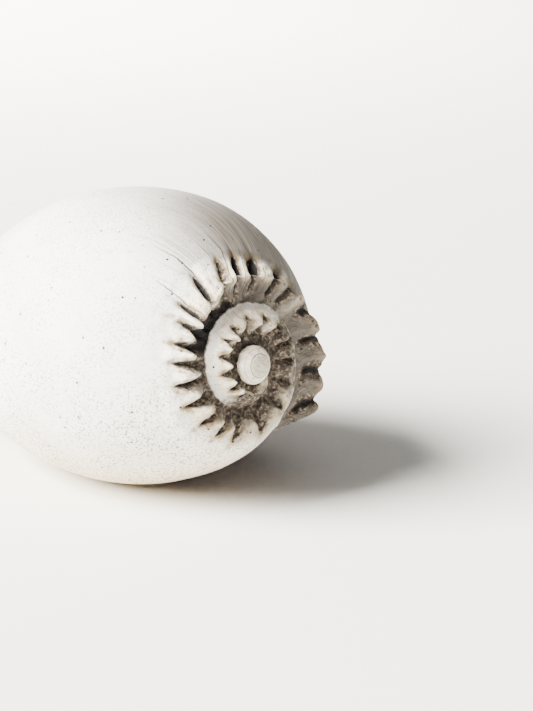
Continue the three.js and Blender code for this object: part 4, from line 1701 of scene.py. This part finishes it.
    def hollow_places(self, depth: Array) -> tuple[Array, Array]:
        """Places of the hollow's lower columns.

        Args:
            depth: turns behind the lip, one per row.

        Returns:
            Share across (0 first, 1 at the end) and egg place, per row and column.
        """
        places = self.flank_places()[None, :]
        first = places[:, :1]
        share = (places - first) / (1.0 - first)
        egg_place = mix(self.hollow_start(depth), self.hollow_end(depth), share)
        return np.broadcast_to(share, egg_place.shape), egg_place

    def hollow(self) -> tuple[Surface, Surface]:
        """The hollow: an outer wall that follows the shell, and the coil before as inner wall.

        Returns:
            Outer wall (all columns but the end) and inner wall (flank columns, from the second row).
        """
        coil, lip = self.coil, self.lip
        depth = np.arange(self.hollow_rows + 1)[:, None] / self.hollow_rows * self.hollow_turns
        row_turn = coil.mouth_start + depth
        setback, place = self.column_setbacks()
        turn = lip.lean(row_turn, setback[None, :], place[None, :], coil.mouth_start)
        thickness = lip.wall(depth, coil.coil_growth)
        share, low_place = self.hollow_places(depth)
        inner = coil.inner_coil(np.broadcast_to(row_turn + 1.0, low_place.shape), low_place)
        flank_turn = turn[:, self.root_column + 1 :]
        flank_place, flank_share = low_place[:, :-1], share[:, :-1]
        wall = self.wall_line(flank_turn, flank_place) - thickness
        pillar = coil.inner_coil(flank_turn + 1.0, flank_place)
        lower = mix(pillar, wall, np.sqrt(1.0 - flank_share**self.hollow_roundness))
        roof_turn = turn[:, : self.root_column + 1]
        upper = self.roof(roof_turn, thickness, depth)
        outer = Surface(turn, np.concatenate([upper, lower], axis=1), {}, turn)
        inner_turn = np.broadcast_to(row_turn + 1.0, inner.shape)
        return outer, Surface(inner_turn[1:], inner[1:], {}, inner_turn[1:])

    def wall_line(self, turn: Array, place: Array) -> Array:
        """Outer face of the wall that a hollow follows: the body, then the coil before it."""
        body = self.coil.body(turn, place)
        return np.where(turn < 1.0 + self.coil.mouth_start, body, self.coil.inner_coil(turn, place))

    def roof(self, turn: Array, thickness: Array, depth: Array) -> Array:
        """Roof of the hollow: a curve from the corner under the seam out to the wall.

        Args:
            turn: turns of the roof columns.
            thickness: wall thickness of each row.
            depth: turns behind the lip, one per row.

        Returns:
            Profile points.
        """
        coil = self.coil
        height = coil.seam(turn).imag - thickness - self.corner_drop
        corner_place = (coil.egg_height(turn + 1.0, 0.0) - height) / coil.body_length
        corner = coil.inner_coil(turn + 1.0, corner_place) + self.corner_gap
        start = np.broadcast_to(self.hollow_start(depth), turn.shape)
        end = self.wall_line(turn, start) - thickness
        above = mix(corner.real, end.real, self.roof_bend) + 1j * corner.imag
        near_corner, near_end = mix(corner, above, self.roof_pull), mix(end, above, self.roof_pull)
        share = np.arange(self.root_column + 1)[None, :] / (self.root_column + 1)
        return bezier(corner, near_corner, near_end, end, share)

    def hollow_masks(self, surface: Surface) -> Surface:
        """Paint the inside of the mouth: brown and clean, with faint growth lines.

        Args:
            surface: grid of the hollow.

        Returns:
            The same surface with masks.
        """
        blank = np.zeros(surface.turn.shape)
        surface.masks = {mask: blank for mask in Mask}
        surface.masks[Mask.INSIDE] = blank + 1.0
        surface.masks[Mask.LINES] = blank + self.inside_lines
        return surface

    def lip_edge(self, outer: Surface, wall: Surface) -> Surface:
        """Rounded edge between the outside and the hollow: rows that bulge forward by half a circle.

        Args:
            outer: outside grid, its first row on the lip.
            wall: hollow's outer wall, its first row on the lip.

        Returns:
            The rows between them.
        """
        share = np.arange(1, self.lip_rows + 1)[:, None] / (self.lip_rows + 1)
        profile = mix(outer.profile[:1], wall.profile[:1], share)
        bulge = self.lip.thickness / 2.0 * np.sin(math.pi * share)
        round_length = 2.0 * math.pi * np.maximum(profile.real, self.least_lip_radius)
        turn = outer.turn[:1] - bulge / round_length
        masks = {mask: mix(outer.masks[mask][:1], wall.masks[mask][:1], share) for mask in Mask}
        return Surface(turn, profile, masks, np.broadcast_to(outer.growth_turn[:1], turn.shape))

    def build(self) -> bpy.types.Object:
        """Join all grids into one closed mesh and dress it.

        Returns:
            The finished object.
        """
        rows, count, root = self.row_turns(), self.turn_rows, self.root_column
        body = self.outside(rows[: count + 1], True)
        spire = self.outside(rows[count + 1 :], False)
        wall, coil = (self.hollow_masks(surface) for surface in self.hollow())
        edge = self.lip_edge(body, wall)
        sheet = ClosedSheet(self.resting, self.coil.body_radius)
        front = sheet.add_point(self.coil.body(0.0, 1.0), 0.0, body, (0, -1))
        body_at = np.column_stack([sheet.add_grid(body), np.full(count + 1, front)])
        body_at[count, root] = body_at[0, 0]
        kept = spire.turn[:, :-1], spire.profile[:, :-1], spire.masks, spire.growth_turn[:, :-1]
        spire_at = sheet.add_grid(Surface(*kept))
        first_column = np.concatenate([body_at[:, 0], spire_at[:, 0]])
        spire_at = np.column_stack([spire_at, first_column[1 : len(spire_at) + 1]])
        upper_at = np.concatenate([body_at[count:, : root + 1], spire_at])
        coil_at = np.concatenate([body_at[count:, root + 1 :], sheet.add_grid(coil)])
        wall_at = np.column_stack([sheet.add_grid(wall), coil_at[:, -1]])
        edge_at = np.column_stack([sheet.add_grid(edge), np.full(self.lip_rows, front)])
        lip_at = np.concatenate([wall_at[:1], edge_at[::-1], body_at[:1]])
        inner_at = np.column_stack([wall_at[:, 0], coil_at])
        for grid in (body_at, upper_at, wall_at[:, ::-1], inner_at, lip_at):
            sheet.add_quads(grid)
        sheet.add_fan(lip_at[:, 0], body_at[count, root + 1])
        deep_end = np.concatenate([wall_at[-1], coil_at[-1, -2::-1], wall_at[-1, :1]])
        sheet.add_fan(deep_end[::-1], sheet.add_middle(deep_end))
        top_ring = np.concatenate([first_column[-count - 1 :], spire_at[-1, 1:]])
        nucleus = self.nucleus_offset + 1j * self.coil.dome_height
        pole_turn = spire.turn[-1, 0] - self.nucleus_turns_back
        pole = sheet.add_point(nucleus, pole_turn, spire, (-1, 0))
        sheet.add_fan(top_ring, pole)
        mesh = sheet.mesh("melon_shell")
        turn_length = 2.0 * math.pi * self.coil.body_radius
        mesh.materials.append(self.finish.material(turn_length, self.resting))
        piece = bpy.data.objects.new("melon_shell", mesh)
        bpy.context.scene.collection.objects.link(piece)
        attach(piece, "root")
        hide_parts("shell")
        return piece


@dataclass
class ClosedSheet:
    """Collects grids of places into one mesh."""

    resting: Resting
    body_radius: float
    points: list[Array] = field(default_factory=list)
    growth: list[Array] = field(default_factory=list)
    masks: list[Array] = field(default_factory=list)
    quads: list[Array] = field(default_factory=list)
    triangles: list[Array] = field(default_factory=list)
    count: int = 0

    def add_grid(self, surface: Surface) -> Array:
        """Add all places of a surface.

        Args:
            surface: grid of places; masks may have further columns, which are left out.

        Returns:
            Numbers of the places, as a grid of the same shape.
        """
        shape = surface.turn.shape
        columns = shape[1]
        lengths = np.abs(np.diff(surface.profile, axis=1, prepend=surface.profile[:, :1]))
        along = np.cumsum(lengths, axis=1)
        along = along - along[:, surface.start_column : surface.start_column + 1]
        around = surface.growth_turn * 2.0 * math.pi * self.body_radius
        growth = np.stack([around, along], axis=-1)
        painted = np.stack([surface.masks[mask][:, :columns] for mask in Mask], axis=-1)
        self.points.append(self.resting.place(surface.profile, surface.turn).reshape(-1, 3))
        self.growth.append(growth.reshape(-1, 2))
        self.masks.append(painted.reshape(-1, len(Mask)))
        numbers = self.count + np.arange(shape[0] * columns).reshape(shape)
        self.count += shape[0] * columns
        return numbers

    def add_point(self, profile: complex, turn: float, like: Surface, at: tuple[int, int]) -> int:
        """Add one place, painted like a place of a surface.

        Args:
            profile: its profile point.
            turn: its turn.
            like: surface that its paint is taken from.
            at: row and column there.

        Returns:
            Number of the place.
        """
        masks = {mask: like.masks[mask][at].reshape(1, 1) for mask in Mask}
        turns = np.full((1, 1), turn)
        single = Surface(turns, np.full((1, 1), profile, dtype=complex), masks, turns)
        return int(self.add_grid(single)[0, 0])

    def add_middle(self, ring: Array) -> int:
        """Add the middle of a ring of places.

        Args:
            ring: numbers of the places.

        Returns:
            Number of the middle.
        """
        for store in (self.points, self.growth, self.masks):
            joined = np.concatenate(store)
            store.append(joined[ring].mean(axis=0, keepdims=True))
        self.count += 1
        return self.count - 1

    def add_quads(self, grid: Array) -> None:
        """Add the faces between neighbouring rows and columns; two corners in one make a triangle.

        Args:
            grid: numbers of places.
        """
        corners = (grid[:-1, :-1], grid[:-1, 1:], grid[1:, 1:], grid[1:, :-1])
        quads = np.stack([corner.ravel() for corner in corners], axis=1)
        flat = quads[:, 1] == quads[:, 2]
        self.quads.append(quads[~flat])
        self.triangles.append(quads[flat][:, [0, 1, 3]])

    def add_fan(self, ring: Array, middle: int) -> None:
        """Add triangles from each step of a ring to a middle place."""
        ends = np.full(len(ring) - 1, middle)
        self.triangles.append(np.stack([ring[:-1], ring[1:], ends], axis=1))

    def mesh(self, name: str) -> bpy.types.Mesh:
        """Make the mesh with its painted layers and growth UV map.

        Args:
            name: name of the mesh.

        Returns:
            A smooth-shaded mesh in metres.
        """
        points, growth = np.concatenate(self.points) * MM, np.concatenate(self.growth) * MM
        masks = np.concatenate(self.masks)
        quads, triangles = np.concatenate(self.quads), np.concatenate(self.triangles)
        corners = np.concatenate([quads.ravel(), triangles.ravel()])
        used, corners = np.unique(corners, return_inverse=True)
        split = quads.size
        faces = corners[:split].reshape(-1, 4).tolist() + corners[split:].reshape(-1, 3).tolist()
        mesh = bpy.data.meshes.new(name)
        mesh.from_pydata(points[used], [], faces)
        mesh.polygons.foreach_set("use_smooth", np.ones(len(mesh.polygons), dtype=bool))
        uv_map = mesh.uv_layers.new(name=GROWTH_UV)
        uv_map.uv.foreach_set("vector", growth[used][corners].astype(np.float32).ravel())
        for place, mask in enumerate(Mask):
            layer = mesh.attributes.new(mask.value, "FLOAT", "POINT")
            layer.data.foreach_set("value", masks[used, place].astype(np.float32))
        mesh.update()
        return mesh


@dataclass(frozen=True)
class MatteCard:
    """Matte white card: soft, even, with a barely visible tooth."""

    white: str = "#f0efec"
    shade: str = "#eae9e5"
    roughness: float = 0.9
    tooth: Patches = Patches(size_mm=3.0)

    def material(self) -> bpy.types.Material:
        """Build the node material.

        Returns:
            A material that reads Object coordinates.
        """
        made = bpy.data.materials.new("matte_white_card")
        made.use_nodes = True
        tree = made.node_tree
        tree.nodes.clear()
        here = add_node(tree, "ShaderNodeTexCoord", out="Object")
        tooth = self.tooth.share(tree, here)
        links = {0: tooth, FIRST: linear_colour(self.white), SECOND: linear_colour(self.shade)}
        colour = add_node(tree, "ShaderNodeMix", links, **COLOUR_MIX)
        links = {"Base Color": colour, "Roughness": self.roughness}
        shader = add_node(tree, "ShaderNodeBsdfPrincipled", links)
        add_node(tree, "ShaderNodeOutputMaterial", {"Surface": shader}, out=None)
        return made


@dataclass
class Floor:
    """Plain pale floor, wide enough to fill the view."""

    half_width: float = 9.0
    finish: MatteCard = field(default_factory=MatteCard)

    def build(self) -> bpy.types.Object:
        """Make the floor as one square at height zero.

        Returns:
            The floor object.
        """
        side = np.array([-1.0, 1.0]) * self.half_width
        x, y = np.meshgrid(side, side)
        corners = np.stack([x.ravel(), y.ravel(), np.zeros(4)], axis=1)
        mesh = bpy.data.meshes.new("floor")
        mesh.from_pydata(corners, [], [(0, 1, 3, 2)])
        mesh.materials.append(self.finish.material())
        floor = bpy.data.objects.new("floor", mesh)
        bpy.context.scene.collection.objects.link(floor)
        return floor


@dataclass
class PhotoCamera:
    """Camera at the photograph's viewing angle."""

    azimuth: float = math.radians(46.7)
    elevation: float = math.radians(15.96)
    distance: float = 1.0
    focal_pixels: float = 2500.0
    image_size: tuple[int, int] = (533, 711)
    tip_pixel: tuple[float, float] = (254.0, 365.0)
    sensor: float = 36.0

    def directions(self) -> tuple[Vector, Vector, Vector]:
        """Directions of the picture in the shared frame.

        Returns:
            Unit vectors to the right and up in the picture, and from the shell to the camera.
        """
        back = Vector((
            math.sin(self.azimuth) * math.cos(self.elevation),
            -math.cos(self.azimuth) * math.cos(self.elevation),
            math.sin(self.elevation),
        ))
        right = Vector((math.cos(self.azimuth), math.sin(self.azimuth), 0.0))
        return right, back.cross(right), back

    def build(self, tip: Vector) -> bpy.types.Object:
        """Aim the camera so that the first whorl's middle falls on its pixel.

        Args:
            tip: middle of the first whorl in metres.

        Returns:
            The camera object, made the scene's camera.
        """
        right, up, back = self.directions()
        pixel = self.distance / self.focal_pixels
        across = (self.image_size[0] / 2.0 - self.tip_pixel[0]) * pixel
        above = (self.tip_pixel[1] - self.image_size[1] / 2.0) * pixel
        data = bpy.data.cameras.new("photo_camera")
        data.sensor_width = self.sensor
        data.lens = self.focal_pixels / max(self.image_size) * self.sensor
        camera = bpy.data.objects.new("photo_camera", data)
        camera.location = tip + right * across + up * above + back * self.distance
        camera.rotation_mode = "QUATERNION"
        camera.rotation_quaternion = back.to_track_quat("Z", "Y")
        bpy.context.scene.collection.objects.link(camera)
        bpy.context.scene.camera = camera
        return camera


@dataclass
class StudioLight:
    """Soft studio light: a large lamp from the upper left, a lamp over the floor behind, a pale world."""

    surroundings: str = "#f4f3f0"
    surroundings_strength: float = 0.4
    key_colour: str = "#fffaf2"
    key_power: float = 3900.0
    key_size: float = 4.0
    key_distance: float = 6.0
    key_left: float = 0.72
    key_up: float = 0.55
    key_front: float = 0.24
    back_power: float = 32.0
    back_size: float = 1.0
    back_distance: float = 1.5
    back_left: float = 0.35
    back_height: float = 1.0
    back_spread: float = math.radians(80.0)

    def lamp(
        self, name: str, place: Vector, away: Vector, power: float, size: float
    ) -> bpy.types.AreaLight:
        """Add one square lamp.

        Args:
            name: name of the lamp.
            place: its middle in metres.
            away: direction opposite to the one it shines in.
            power: watts.
            size: side length in metres.

        Returns:
            The lamp's settings.
        """
        data = bpy.data.lights.new(name, "AREA")
        data.energy = power
        data.size = size
        data.color = linear_colour(self.key_colour)[:3]
        lamp = bpy.data.objects.new(name, data)
        lamp.location = place
        lamp.rotation_mode = "QUATERNION"
        lamp.rotation_quaternion = away.to_track_quat("Z", "Y")
        bpy.context.scene.collection.objects.link(lamp)
        return data

    def build(self, camera: PhotoCamera, target: Vector) -> None:
        """Place the lamps relative to the camera and light the surroundings evenly.

        Args:
            camera: camera whose picture directions are used.
            target: point that the lamp faces, in metres.
        """
        right, _, back = camera.directions()
        level_back = Vector((back.x, back.y, 0.0)).normalized()
        toward = -right * self.key_left + Vector((0.0, 0.0, self.key_up)) + level_back * self.key_front
        toward.normalize()
        key_place = target + toward * self.key_distance
        self.lamp("key_lamp", key_place, toward, self.key_power, self.key_size)
        over_floor = -level_back * self.back_distance - right * self.back_left
        over_floor = over_floor + Vector((0.0, 0.0, self.back_height))
        straight_up = Vector((0.0, 0.0, 1.0))
        floor_place = target + over_floor
        floor_lamp = self.lamp("floor_lamp", floor_place, straight_up, self.back_power, self.back_size)
        floor_lamp.spread = self.back_spread
        world = bpy.data.worlds.new("pale_surroundings")
        world.use_nodes = True
        tree = world.node_tree
        tree.nodes.clear()
        links = {"Color": linear_colour(self.surroundings), "Strength": self.surroundings_strength}
        glow = add_node(tree, "ShaderNodeBackground", links)
        add_node(tree, "ShaderNodeOutputWorld", {"Surface": glow}, out=None)
        bpy.context.scene.world = world


def main() -> None:
    """Build the camera, the shell, the floor and the light, and report each piece."""
    logging.basicConfig(level=logging.INFO, format="%(message)s")
    shell = MelonShell()
    tip = Vector(shell.resting.origin) * MM
    camera = PhotoCamera()
    camera.build(tip)
    piece = shell.build()
    LOG.info("%s: %d vertices, %d faces", piece.name, len(piece.data.vertices), len(piece.data.polygons))
    floor = Floor().build()
    LOG.info("%s laid", floor.name)
    StudioLight().build(camera, tip)
    LOG.info("light placed")


if __name__ == "__main__":
    main()
